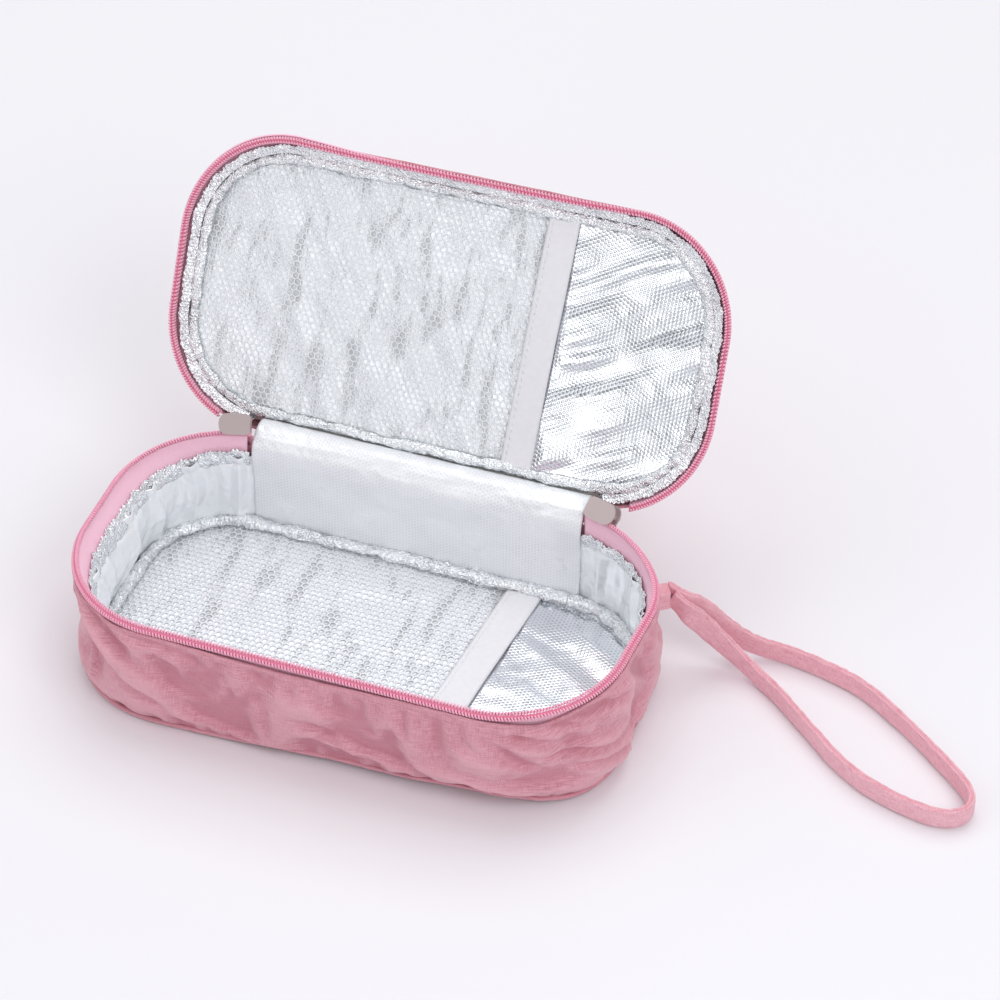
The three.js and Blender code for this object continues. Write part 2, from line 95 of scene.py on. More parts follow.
# Distances round the rim in mm, clockwise from the start of the back right corner
ARC = math.pi / 2 * RIM["radius"]
SIDE = 23.5
FRONT = 115.0
ROUND = 4 * ARC + 2 * SIDE + 2 * FRONT
SEAM_T = 5.6
LEFT_T = 4 * ARC + 2 * SIDE + FRONT


# The camera comes first, with the free strap's route

def add_camera():
    """The photograph's view: a long lens from the front left, high up."""
    turn, lift = math.radians(19.74), math.radians(41.81)
    back = Vector((math.sin(turn) * math.cos(lift), -math.cos(turn) * math.cos(lift), math.sin(lift)))
    data = bpy.data.cameras.new("camera")
    data.lens = 130.28
    data.sensor_width = 36
    data.clip_start = 0.05
    camera = linked("camera", data)
    camera.location = Vector((26.67, 66.94, 30)) * MM + back * 1.3
    camera.rotation_euler = back.to_track_quat("Z", "Y").to_euler()
    bpy.context.scene.camera = camera


STRAP_ROUTE = [
    (105, 39.4, 29.8), (110.2, 42.4, 25), (115.6, 45.5, 17.5), (122.3, 48.4, 10), (130.6, 50.6, 5.4),
    (141.6, 50.7, 4.4), (153.3, 48.6, 4.3), (164.5, 45.4, 4.3), (173.7, 41.1, 4.3), (182.2, 35.4, 4.3),
    (190.2, 29.7, 4.3), (197.7, 23.9, 4.3), (204.7, 18.2, 4.3), (211, 12.9, 4.3), (216.2, 7.7, 4.3),
    (219.2, 2.4, 4.3), (218.1, -3.2, 4.3), (213.4, -6.6, 4.3), (206.8, -7.4, 4.3), (199, -6.2, 4.3),
    (190.3, -3.7, 4.3), (182.2, -0.6, 4.3), (174.6, 3.8, 4.3), (167.5, 9, 4.3), (160.5, 15.1, 4.3),
    (153, 21.5, 4.3), (143.7, 29.6, 4.3), (134.2, 36.3, 4.5), (125.3, 40.3, 7.5), (117.7, 40.7, 13.5),
    (111.6, 39, 21), (106.8, 36.6, 27.5),
]


# Fields of numbers: smooth noise, and flat facets with sharp creases

def hashed(i, j, seed):
    n = np.sin(i * 127.1 + j * 311.7 + seed * 74.7) * 43758.5453
    return 2 * (n - np.floor(n)) - 1


def soft_noise(u, v, seed):
    i, j = np.floor(u), np.floor(v)
    a, b = u - i, v - j
    a, b = a * a * (3 - 2 * a), b * b * (3 - 2 * b)
    low = hashed(i, j, seed) * (1 - a) + hashed(i + 1, j, seed) * a
    high = hashed(i, j + 1, seed) * (1 - a) + hashed(i + 1, j + 1, seed) * a
    return low * (1 - b) + high * b


def facet_noise(u, v, seed):
    u, v = (u + 0.5 * soft_noise(u * 0.9, v * 0.9, seed + 1),
            v + 0.5 * soft_noise(u * 0.9, v * 0.9, seed + 2))
    i, j = np.floor(u), np.floor(v)
    a, b = u - i, v - j
    h00, h10 = hashed(i, j, seed), hashed(i + 1, j, seed)
    h01, h11 = hashed(i, j + 1, seed), hashed(i + 1, j + 1, seed)
    lower = h00 + a * (h10 - h00) + b * (h01 - h00)
    upper = h11 + (1 - a) * (h01 - h11) + (1 - b) * (h10 - h11)
    return np.where(a + b < 1, lower, upper)


def crumple(u, v, size, seed, octaves=3):
    """Crumpled foil: facets of the given size in mm, with finer ones on them."""
    total, share = 0, 1
    for k in range(octaves):
        c, s = math.cos(0.7 + 1.1 * k + seed), math.sin(0.7 + 1.1 * k + seed)
        scale = 1.9 ** k / size
        total = total + share * facet_noise((u * c - v * s) * scale, (u * s + v * c) * scale, seed + 13 * k)
        share *= 0.5
    return total


def unit(value):
    return np.clip(value, 0, 1)


def bell(value):
    return np.exp(-value ** 2)


def column(start, end, count):
    return np.linspace(start, end, count)[:, None]


def zigzag(t, pitch):
    """A triangle wave from 0 to 1."""
    return np.abs(2 * np.mod(t / pitch, 1) - 1)


# Outlines: a rounded rectangle that changes with height

def mixed(low, high, share):
    return {key: low[key] + (high[key] - low[key]) * share for key in low}


def base_outline(z):
    outline = mixed(FOOT, RIM, z / BASE_HEIGHT)
    outline["swell"] = np.interp(z, [0, 4, 12, 20, 28, 36, 42, 60], [0, 0.5, 0.9, 1.1, 1.0, 0.6, 0.1, 0])
    return outline


def lid_outline(z):
    outline = mixed(LID_RIM, LID_TOP, z / LID_HEIGHT)
    outline["swell"] = 0 * z
    return outline


def place(t):
    """Corner, next corner, share of the way between them and direction at t mm round the rim."""
    lengths = np.array([ARC, SIDE, ARC, FRONT, ARC, SIDE, ARC, FRONT])
    ends = np.concatenate([[0], np.cumsum(lengths)])
    t = np.mod(t, ends[-1])
    k = np.clip(np.searchsorted(ends, t, side="right") - 1, 0, 7)
    share = (t - ends[k]) / lengths[k]
    corner, on_arc = k // 2, k % 2 == 0
    angle = np.radians(90 - 90 * corner - np.where(on_arc, 90 * share, 90))
    return corner, (corner + 1) % 4, np.where(on_arc, 0, share), angle


def on_outline(outline, t, inset):
    signs = np.array([[1, 1], [1, -1], [-1, -1], [-1, 1]], float)
    a, b, share, angle = place(t)
    sign = signs[a] * (1 - share)[..., None] + signs[b] * share[..., None]
    reach = outline["radius"] + outline["swell"] - inset
    x = sign[..., 0] * (outline["length"] / 2 - outline["radius"]) + reach * np.cos(angle)
    y = sign[..., 1] * (outline["width"] / 2 - outline["radius"]) + reach * np.sin(angle)
    turn = np.radians(outline["turn"])
    return (outline["x"] + x * np.cos(turn) - y * np.sin(turn),
            outline["y"] + x * np.sin(turn) + y * np.cos(turn))


def stacked(*fields):
    """Fields of numbers, spread to one shape, as points or as cloth coordinates."""
    return np.stack(np.broadcast_arrays(*fields), -1)


def from_lid(points):
    """From the closed lid's own place, with z above the zipper's middle, to the open lid."""
    x, y, z = points[..., 0], points[..., 1] - HINGE_Y, points[..., 2] + ZIP_LEVEL - HINGE_Z
    return stacked(x, HINGE_Y + y * math.cos(OPEN) + z * math.sin(OPEN),
                   HINGE_Z - y * math.sin(OPEN) + z * math.cos(OPEN))


def slumped(points):
    """The soft base's own shape: its left end sags inwards under the rim, the rim swells at the right, and
    between the corners the front of the bottom is drawn up and in, clear of the table."""
    x, y, z = points[..., 0], points[..., 1], points[..., 2]
    sag = np.interp(z, [0, 2, 7, 12, 18, 22, 27, 32, 37, 41, 45],
                    [-0.3, 0.3, 1.5, 2.5, 4.8, 6.2, 6.6, 5.6, 3.8, 1.9, 0])
    rim = unit((z - 38) / 6) * unit((x - 84) / 12) * bell((y - 18) / 24)
    x = x + sag * unit((-x - 62) / 34) ** 1.2 + 1.9 * rim
    pull = np.interp(x, [-52, -22, 5, 33, 60, 74, 87, 99], [0, 4, 9, 10, 15.5, 14, 9, 0]) \
        * bell(np.maximum(y + 54, 0) / 17)
    return stacked(x, y + 0.23 * pull * unit(1 - z / 28) ** 1.3,
                   z + 0.27 * pull * unit(1 - z / 36))


# Meshes

def grid_faces(rows, cols, wrap_rows=False, wrap_cols=False):
    r = np.arange(rows if wrap_rows else rows - 1)[:, None]
    c = np.arange(cols if wrap_cols else cols - 1)[None, :]
    r2, c2 = (r + 1) % rows, (c + 1) % cols
    return np.stack([r * cols + c, r2 * cols + c, r2 * cols + c2, r * cols + c2], -1).reshape(-1, 4)


def linked(name, data):
    obj = bpy.data.objects.new(name, data)
    bpy.context.scene.collection.objects.link(obj)
    return obj


def make(name, points, faces, cloth, paint, body, replaces=(), outward=True):
    """A mesh object from points in mm, riding on a body, with its cloth coordinates in mm. The points of a
    piece of the base or the lid are those of its plain shape, or of its place in the closed lid."""
    mesh = bpy.data.meshes.new(name)
    points = np.asarray(points, float).reshape(-1, 3)
    if name.startswith("base_"):
        points = slumped(points)
    elif name.startswith("lid_"):
        points = from_lid(points)
    mesh.from_pydata((points * MM).tolist(), [], [list(map(int, f)) for f in faces])
    layer = mesh.attributes.new("cloth", "FLOAT_VECTOR", "POINT")
    flow = np.zeros((len(points), 3), np.float32)
    cloth = np.asarray(cloth, float).reshape(len(points), -1)
    flow[:, :cloth.shape[1]] = cloth
    layer.data.foreach_set("vector", flow.ravel())
    mesh.polygons.foreach_set("use_smooth", [True] * len(mesh.polygons))
    if outward:
        work = bmesh.new()
        work.from_mesh(mesh)
        bmesh.ops.recalc_face_normals(work, faces=work.faces)
        work.to_mesh(mesh)
        work.free()
    obj = linked(name, mesh)
    mesh.materials.append(paint)
    if body:
        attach(obj, body)
    if replaces:
        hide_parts(*replaces)
    return obj


def solidify(obj, thickness, offset=0):
    """The piece's thickness in mm: to both sides of its points, or with offset -1 or 1 to one side."""
    modifier = obj.modifiers.new("thickness", "SOLIDIFY")
    modifier.thickness = thickness * MM
    modifier.offset = offset
    return obj


def apply_thickness(obj, thickness):
    """Turns the thickness into real vertices."""
    solidify(obj, thickness)
    bpy.context.view_layer.update()
    evaluated = obj.evaluated_get(bpy.context.evaluated_depsgraph_get())
    mesh = bpy.data.meshes.new_from_object(evaluated)
    obj.modifiers.clear()
    obj.data = mesh


def rounded(obj, width):
    """Rounds the piece's edges by a width in mm."""
    bevel = obj.modifiers.new("bevel", "BEVEL")
    bevel.width = width * MM
    bevel.segments = 3
    bevel.limit_method = "ANGLE"


def sheet(name, points, cloth, paint, body, replaces=(), thickness=0.3, offset=0):
    """A sheet from a grid of points."""
    obj = make(name, points, grid_faces(*points.shape[:2]), cloth, paint, body, replaces, outward=False)
    return solidify(obj, thickness, offset) if thickness else obj


def tube(name, points, cloth, paint, body, replaces=()):
    """A tube that closes on itself, round the rim."""
    return make(name, points, grid_faces(*points.shape[:2], True, True), cloth, paint, body, replaces)


def capped(name, points, cloth, paint, body, replaces=()):
    """A tube of rings with its two ends closed."""
    rows, cols = points.shape[:2]
    ends = [list(range(cols)), list(range((rows - 1) * cols, rows * cols))[::-1]]
    faces = [*grid_faces(rows, cols, False, True).tolist(), *ends]
    return make(name, points, faces, cloth, paint, body, replaces)


def band(t, inset, z, outline=base_outline):
    """Points of a sheet along the outline: rows of height over columns of distance."""
    t, inset, z = (np.asarray(field, float) for field in np.broadcast_arrays(t, inset, z))
    return stacked(*on_outline(outline(z), t, inset), z)


def ring(t, centre_inset, centre_z, profile, outline):
    """Points of a tube along the outline: profile is a list of (outwards, up) round the tube."""
    out, up = np.array(profile).T[:, :, None]
    return band(t, centre_inset - out, centre_z + up, outline)


def round_profile(width, height, sides, power=2.0):
    result = []
    for k in range(sides):
        a = 2 * math.pi * k / sides
        c, s = math.cos(a), math.sin(a)
        result.append((
            width / 2 * math.copysign(abs(c) ** (2 / power), c),
            height / 2 * math.copysign(abs(s) ** (2 / power), s)))
    return result


PIPING = round_profile(2.2, 2.1, 10)


def depth_in(outline, x, y, inset):
    """How deep a point lies inside the inset outline, and the direction inwards."""
    turn = math.radians(outline["turn"])
    dx, dy = x - outline["x"], y - outline["y"]
    px, py = dx * math.cos(turn) + dy * math.sin(turn), dy * math.cos(turn) - dx * math.sin(turn)
    radius = outline["radius"] + outline["swell"] - inset
    qx = np.abs(px) - (outline["length"] / 2 - outline["radius"])
    qy = np.abs(py) - (outline["width"] / 2 - outline["radius"])
    outside = np.hypot(np.maximum(qx, 0), np.maximum(qy, 0))
    depth = radius - (outside + np.minimum(np.maximum(qx, qy), 0))
    nx = np.where(outside > 0, np.maximum(qx, 0) / np.maximum(outside, 1e-9), (qx > qy) * 1.0) * np.sign(px)
    ny = np.where(outside > 0, np.maximum(qy, 0) / np.maximum(outside, 1e-9), (qx <= qy) * 1.0) * np.sign(py)
    inx = -(nx * math.cos(turn) - ny * math.sin(turn))
    iny = -(nx * math.sin(turn) + ny * math.cos(turn))
    return depth, inx, iny


def outline_number(outline, z):
    return {key: float(value) for key, value in outline(np.float64(z)).items()}


def plate_grid(outline, inset, step):
    """A grid of squares in the inset outline, its edge vertices moved onto the outline."""
    xs = np.arange(-110, 110, step)
    ys = np.arange(-64, 64, step)
    y, x = np.meshgrid(ys, xs, indexing="ij")
    depth, inx, iny = depth_in(outline, x, y, inset)
    keep = depth > -step * 0.7
    x, y = np.where(depth < 0, x - inx * depth, x), np.where(depth < 0, y - iny * depth, y)
    x, y = x.ravel(), y.ravel()
    faces = grid_faces(len(ys), len(xs))
    faces = faces[keep.ravel()[faces].all(1)]
    faces = faces[np.ptp(x[faces], axis=1) > 0.05]
    used, faces = np.unique(faces, return_inverse=True)
    return x[used], y[used], faces.reshape(-1, 4)


def plate(name, outline, inset, step, level, paint, body, replaces, outward=False):
    """A panel inside the outline: level gives its height at (x, y)."""
    x, y, faces = plate_grid(outline, inset, step)
    return make(name, stacked(x, y, level(x, y)), faces, stacked(x, y), paint, body, replaces, outward)


# Materials

class Paint:
    def __init__(self, name, **shader):
        self.material = bpy.data.materials.new(name)
        self.material.use_nodes = True
        self.tree = self.material.node_tree
        self.shader = self.tree.nodes["Principled BSDF"]
        for key, value in shader.items():
            self.shader.inputs[key.replace("_", " ")].default_value = value
        self.flow = self.node("Attribute", attribute_name="cloth").outputs["Vector"]

    def node(self, kind, sockets=None, **settings):
        node = self.tree.nodes.new("ShaderNode" + kind)
        for key, value in settings.items():
            setattr(node, key, value)
        for key, value in (sockets or {}).items():
            if isinstance(value, bpy.types.NodeSocket):
                self.tree.links.new(value, node.inputs[key])
            else:
                node.inputs[key].default_value = value
        return node

    def plug(self, name, value):
        self.tree.links.new(value, self.shader.inputs[name])

    def stretched(self, scale, turn=0.0):
        return self.node("Mapping", {"Vector": self.flow, "Scale": scale, "Rotation": (0, 0, turn)}).outputs[0]

    def noise(self, scale, detail=2.0, roughness=0.5, turn=0.0, distortion=0.0):
        return self.node("TexNoise", {
            "Vector": self.stretched(scale, turn), "Scale": 1.0, "Detail": detail,
            "Roughness": roughness, "Distortion": distortion}).outputs[0]

    def wave(self, pitch, turn=0.0):
        """A sine wave from 0 to 1 along the turned cloth."""
        return self.node("TexWave", {
            "Vector": self.stretched((1, 1, 1), turn), "Scale": math.pi / 10 / pitch, "Distortion": 0.0},
            wave_type="BANDS", bands_direction="X", wave_profile="SIN").outputs[1]

    def math(self, operation, a, b=0.0):
        return self.node("Math", {0: a, 1: b}, operation=operation).outputs[0]

    def total(self, *terms):
        """The sum of (value, weight) pairs."""
        parts = [self.math("MULTIPLY", value, weight) for value, weight in terms]
        result = parts[0]
        for part in parts[1:]:
            result = self.math("ADD", result, part)
        return result

    def span(self, value, low, high, to_low=0.0, to_high=1.0):
        return self.node("MapRange", {
            "Value": value, "From Min": low, "From Max": high, "To Min": to_low, "To Max": to_high}).outputs[0]

    def mix(self, factor, a, b, blend="MIX"):
        node = self.node("Mix", {0: factor, 6: a, 7: b}, data_type="RGBA", blend_type=blend)
        return node.outputs[2]

    def bump(self, height, distance, strength=1.0, normal=None):
        sockets = {"Height": height, "Distance": distance * MM, "Strength": strength}
        if normal:
            sockets["Normal"] = normal
        return self.node("Bump", sockets).outputs[0]


def shade(red, green, blue):
    """A screen colour from 0 to 255 as linear light."""
    return tuple(((c / 255 + 0.055) / 1.055) ** 2.4 if c > 10 else c / 3294 for c in (red, green, blue)) + (1.0,)


def scaled(colour, share):
    return tuple(c * share for c in colour[:3]) + (1,)


def melange_paint(name, light, middle, dark, scale=1.0):
    """Woven melange: fine streaks of lighter and darker yarn along both directions, with painted shade in the creases
    and painted highlight on the ridges of the folds.
    """
    paint = Paint(name, Roughness=0.9, Sheen_Weight=0.25, Sheen_Roughness=0.5)
    along = paint.noise((0.16 * scale, 2.8 * scale, 0), 2.0, 0.6)
    across = paint.noise((3.0 * scale, 0.25 * scale, 0), 2.0, 0.6)
    grain = paint.noise((2.4 * scale, 2.8 * scale, 0), 3.0, 0.7)
    cloud = paint.noise((0.03, 0.05, 0), 2.0)
    streak = paint.total((paint.total((along, 0.6), (across, 0.4)), 0.7), (grain, 0.3))
    colour = paint.mix(paint.span(streak, 0.38, 0.5), dark, middle)
    colour = paint.mix(paint.span(streak, 0.5, 0.64), colour, light)
    colour = paint.mix(paint.span(cloud, 0.3, 0.7, 0.0, 0.18), colour, dark)
    # Painted shade and painted highlight: the cloth's third value, the fold relief on the base's wall cover, darkens
    # its troughs and lightens its ridges. Pieces that keep their height there come out lighter all over, up to half
    # way to the light yarn.
    relief = paint.node("SeparateXYZ", {0: paint.flow}).outputs[2]
    colour = paint.mix(paint.span(relief, -1.3, -0.1, 0.6, 0.0), colour, dark)
    colour = paint.mix(paint.span(relief, 0.8, 3.2, 0.0, 0.5), colour, light)
    paint.plug("Base Color", colour)
    weave = paint.total((paint.wave(0.55), 0.15), (paint.wave(0.55, math.pi / 2), 0.15), (streak, 1.0))
    paint.plug("Normal", paint.bump(weave, 0.12, 0.5))
    paint.plug("Roughness", paint.span(grain, 0.3, 0.7, 0.82, 0.98))
    return paint.material


def tape_paint(name, colour, dark, pitch=0.7):
    """Woven ribbon: a fine herringbone with a soft sheen."""
    paint = Paint(name, Roughness=0.7, Sheen_Weight=0.3, Sheen_Roughness=0.4)
    ribs = paint.math("MULTIPLY", paint.wave(pitch, math.radians(40)), paint.wave(pitch * 2.2, math.pi / 2))
    grain = paint.noise((1.5, 1.5, 1), 2.0)
    paint.plug("Base Color", paint.mix(paint.span(grain, 0.3, 0.75, 0.0, 0.5), colour, dark))
    paint.plug("Normal", paint.bump(ribs, 0.08, 0.6))
    return paint.material


def foil_paint(name, tint, pitch, rough, crease, emboss, metal, gaps, rough_waves, reflection_bands=0.0, dark_reflection_specks=0.0):
    """Embossed metallised film: a lattice of small raised dots with painted shade between them, and fine crumples
    over it.
    The bands are long painted dark reflections and the specks small ones, both from 0 to 1."""
    paint = Paint(name, Metallic=metal, Roughness=rough)
    dots = paint.total(*((paint.wave(pitch, math.radians(turn)), 1.0) for turn in (0, 60, 120)))
    dots = paint.span(dots, 1.0, 2.3)
    wrinkle = paint.node("TexVoronoi", {
        "Vector": paint.stretched((crease, crease, 1)), "Scale": 1.0, "Randomness": 1.0},
        feature="DISTANCE_TO_EDGE").outputs["Distance"]
    broad = paint.noise((crease * 0.4, crease * 0.4, 1), 3.0, 0.6, distortion=0.6)
    first = paint.bump(broad, 1.6, rough_waves)
    second = paint.bump(paint.span(wrinkle, 0.0, 0.25), 0.25, 0.8 * rough_waves, first)
    # Broad patches that vary the emboss's depth, the painted shade between the dots and the roughness.
    emboss_and_shade_patches = paint.noise((0.05, 0.07, 1), 2.0)
    pressed = paint.math("MULTIPLY", dots, paint.span(emboss_and_shade_patches, 0.34, 0.6, 0.5, 1.3))
    paint.plug("Normal", paint.bump(pressed, emboss, 0.9, second))
    # Painted shade: grey mixed in between the dots, as strongly as gaps sets it, stands for the shading of the
    # emboss. The bands below use the same grey.
    painted_shade_grey = scaled(tint, 0.45)
    painted_gap_shade = paint.math("MULTIPLY", paint.span(dots, 0.0, 0.8, gaps, 0.0), paint.span(emboss_and_shade_patches, 0.36, 0.62, 0.5, 1.2))
    colour = paint.mix(painted_gap_shade, tint, painted_shade_grey)
    if reflection_bands:
        # Painted reflection: long dark bands, as waves in the foil would mirror darker surroundings.
        streak = paint.noise((0.16, 0.035, 1), 3.0, 0.7, turn=math.radians(-28), distortion=0.2)
        colour = paint.mix(paint.span(streak, 0.52, 0.62, 0.0, reflection_bands), colour, painted_shade_grey)
    if dark_reflection_specks:
        # Painted reflection: small dark specks, as the foil's tiny crinkles would mirror darker surroundings.
        fine = paint.noise((0.9, 0.9, 1), 3.0, 0.75)
        colour = paint.mix(paint.span(fine, 0.56, 0.62, 0.0, dark_reflection_specks), colour, scaled(tint, 0.28))
    paint.plug("Base Color", colour)
    paint.plug("Roughness", paint.span(emboss_and_shade_patches, 0.3, 0.7, rough * 0.85, rough * 1.25))
    return paint.material


def plain_cloth(name, colour, roughness=0.75, pitch=0.5, dent=0.06):
    paint = Paint(name, Roughness=roughness, Sheen_Weight=0.15)
    weave = paint.math("ADD", paint.wave(pitch), paint.wave(pitch, math.pi / 2))
    soft = paint.noise((0.5, 0.5, 1), 3.0)
    paint.plug("Base Color", paint.mix(paint.span(soft, 0.3, 0.7), colour, scaled(colour, 0.96)))
    paint.plug("Normal", paint.bump(weave, dent, 0.6))
    return paint.material


def metal_paint(name, colour):
    paint = Paint(name, Metallic=0.55, Roughness=0.42)
    scratch = paint.noise((0.6, 6, 6), 3.0)
    paint.plug("Base Color", paint.mix(paint.span(scratch, 0.3, 0.8), colour, scaled(colour, 0.82)))
    paint.plug("Roughness", paint.span(scratch, 0.3, 0.7, 0.36, 0.5))
    paint.plug("Normal", paint.bump(scratch, 0.03, 0.3))
    return paint.material


PINK = melange_paint("melange", shade(236, 182, 193), shade(217, 153, 167), shade(192, 118, 134))
STRAP_PINK = melange_paint("strap_melange", shade(252, 212, 220), shade(242, 186, 198), shade(214, 134, 150), 1.3)
TAPE = tape_paint("zipper_tape", shade(255, 208, 226), shade(254, 194, 215))
COIL = tape_paint("coil_nylon", shade(254, 188, 210), shade(249, 160, 190), 0.4)
RIBBON = tape_paint("ribbon", shade(214, 128, 148), shade(188, 98, 120), 0.6)
# All five foils are one metallised film, in lighter and darker copies: the bare foil of the base floor and the lid
# panel has the darker tint and the most metalness, the others a lighter tint and less metalness, which paints light
# and shade into each region.
FOIL = foil_paint("foil", (0.86, 0.885, 0.925, 1), 1.3, 0.15, 0.10, 0.05, 0.95, 0.6, 0.2)
FOIL_NET = foil_paint("foil_under_net", (0.955, 0.975, 1.0, 1), 1.3, 0.2, 0.10, 0.1, 0.32, 0.12, 0.5, reflection_bands=0.6)
FOIL_WALL = foil_paint("foil_wall", (0.95, 0.975, 1.0, 1), 1.2, 0.16, 0.09, 0.03, 0.3, 0.04, 1.0)
FOIL_BACK = foil_paint("foil_back", (0.955, 0.97, 1.0, 1), 1.2, 0.3, 0.06, 0.07, 0.2, 0.18, 0.9)
FOIL_EDGE = foil_paint("foil_edge", (0.95, 0.975, 1.0, 1), 1.0, 0.12, 0.45, 0.2, 0.6, 0.1, 1.0, dark_reflection_specks=0.4)
NET = plain_cloth("net_yarn", shade(247, 250, 255), 0.6, 0.4)
WHITE_TAPE = plain_cloth("white_tape", shade(240, 239, 243), 0.7, 0.45)
METAL = metal_paint("slider_metal", shade(198, 182, 182))
FOAM = plain_cloth("foam", shade(240, 238, 232), 0.95, 1.1, 0.2)
THREAD = plain_cloth("thread", shade(236, 130, 164), 0.8, 0.3)


# Base: outer fabric

def fold(t, z, start, end, depth, width, sharp=0.35):
    """A long soft fold between two (distance, height) places, highest on its line."""
    (t0, z0), (t1, z1) = start, end
    dt, dz = t1 - t0, z1 - z0
    length = math.hypot(dt, dz)
    along = ((t - t0) * dt + (z - z0) * dz) / length
    away = ((t - t0) * -dz + (z - z0) * dt) / length
    taper = bell(np.maximum(np.abs(along - length / 2) - length * 0.28, 0) / (length * 0.18))
    ridge = np.exp(-np.abs(away / width) ** (1 + sharp))
    trough = bell((away + width * 1.7) / (width * 1.2))
    return depth * taper * (ridge - 0.7 * trough)


def wall_relief(t, z):
    relief = 0.45 * soft_noise(t / 26, z / 17, 3) + 0.2 * soft_noise(t / 9, z / 11, 5)
    for start, end, depth, width in WALL_FOLDS:
        relief = relief + fold(t, z, start, end, depth, width)
    relief = np.where(relief > 0, 3.8 * np.tanh(relief / 3.8), 1.4 * np.tanh(relief / 1.4))
    return relief * unit(z / 5) * np.clip((46 - z) / 4, 0.1, 1)


WALL_FOLDS = [
    ((314, 44), (260, 18), 4.2, 2.7), ((303, 33), (262, 8), -2.6, 2.6), ((296, 44), (256, 36), 1.5, 2.2),
    ((320, 32), (300, 6), 2.0, 2.6), ((334, 40), (314, 20), 1.8, 2.6), ((284, 16), (240, 4), 1.5, 2.6),
    ((154, 43), (108, 34), 3.2, 2.0), ((150, 36), (98, 22), 4.0, 2.3), ((138, 28), (82, 9), 3.8, 2.4),
    ((128, 42), (96, 33), 2.6, 1.8), ((124, 18), (84, 3), 3.0, 2.4), ((168, 30), (134, 19), 1.5, 2.6),
    ((94, 40), (72, 16), 2.0, 2.8), ((66, 40), (48, 14), 2.0, 3.0), ((182, 15), (136, 5), 1.6, 2.8),
    ((246, 36), (200, 27), 0.9, 3.4), ((226, 17), (180, 8), 1.1, 3.2), ((352, 36), (336, 10), 2.0, 2.8),
    ((397, 38), (374, 12), 1.8, 2.8), ((28, 40), (44, 12), 1.6, 2.8),
]


def tape_gap(t):
    """How far the fabric's top edge hangs below the coil, in mm: at the front, near each front corner."""
    return sum(gap * bell((t - middle) / width)
               for gap, middle, width in ((1.5, 224, 26), (2.6, 133, 13), (0.9, 300, 16)))


def smoothed(rows, times):
    """Rows of numbers, each averaged with its neighbours along the row a number of times."""
    for _ in range(times):
        padded = np.pad(rows, ((0, 0), (1, 1)), mode="edge")
        rows = (padded[:, :-2] + 2 * rows + padded[:, 2:]) / 4
    return rows


def buckled(points, spare, frames):
    """Cloth with some spare length, held along its four edges, lets itself down into folds."""
    rows, cols = points.shape[:2]
    mesh = bpy.data.meshes.new("cloth_trial")
    mesh.from_pydata((points.reshape(-1, 3) * 10 * MM).tolist(), [], grid_faces(rows, cols).tolist())
    trial = linked("cloth_trial", mesh)
    scene = bpy.context.scene
    number = np.arange(rows * cols).reshape(rows, cols)
    held = np.concatenate([number[:1].ravel(), number[-2:].ravel(), number[:, 0], number[:, -1]])
    trial.vertex_groups.new(name="held").add(sorted(set(held.tolist())), 1.0, "REPLACE")
    modifier = trial.modifiers.new("cloth", "CLOTH")
    cloth = modifier.settings
    for key, value in (("quality", 6), ("mass", 0.3), ("tension_stiffness", 12), ("compression_stiffness", 12),
                       ("shear_stiffness", 4), ("bending_stiffness", 0.08), ("shrink_min", -spare),
                       ("vertex_group_mass", "held")):
        setattr(cloth, key, value)
    cloth.effector_weights.gravity = 0.15
    modifier.collision_settings.use_collision = False
    for frame in range(1, frames + 1):
        scene.frame_set(frame)
    evaluated = trial.evaluated_get(bpy.context.evaluated_depsgraph_get())
    result = np.zeros(rows * cols * 3, np.float32)
    evaluated.data.vertices.foreach_get("co", result)
    scene.frame_set(1)
    bpy.data.objects.remove(trial)
    return result.reshape(points.shape) / (10 * MM)


def wall_folds(t, z):
    """The wall's relief: the folds seen on the case, with those that loose cloth adds between them."""
    relief = wall_relief(t, z)
    coarse_t = np.linspace(t[0], t[-1], 170)
    coarse_z = np.linspace(1.5, 44.9, 19)
    start = band(coarse_t, -wall_relief(coarse_t, coarse_z[:, None]), coarse_z[:, None])
    moved = buckled(start, 0.10, 20) - start
    angle = place(coarse_t)[3]
    outwards = moved[..., 0] * np.cos(angle) + moved[..., 1] * np.sin(angle)
    outwards = outwards - 0.85 * smoothed(smoothed(outwards, 60).T, 8).T
    outwards = np.clip(1.3 * outwards, -1.3, 2.2)
    along = np.array([np.interp(t, coarse_t, row) for row in outwards])
    loose = np.array([np.interp(z[:, k], coarse_z, along[:, k]) for k in range(len(t))]).T
    most = np.interp(t, [SEAM_T, 34, 48], [0.3, 0.3, 4.2])
    return np.clip(relief + loose, -1.6, most)


def seam_tuck(t):
    """How far a cover is drawn in at its two ends, where the seams are."""
    return 0.9 * (bell((t - t[0]) / 1.1) + bell((t - t[-1]) / 1.1))


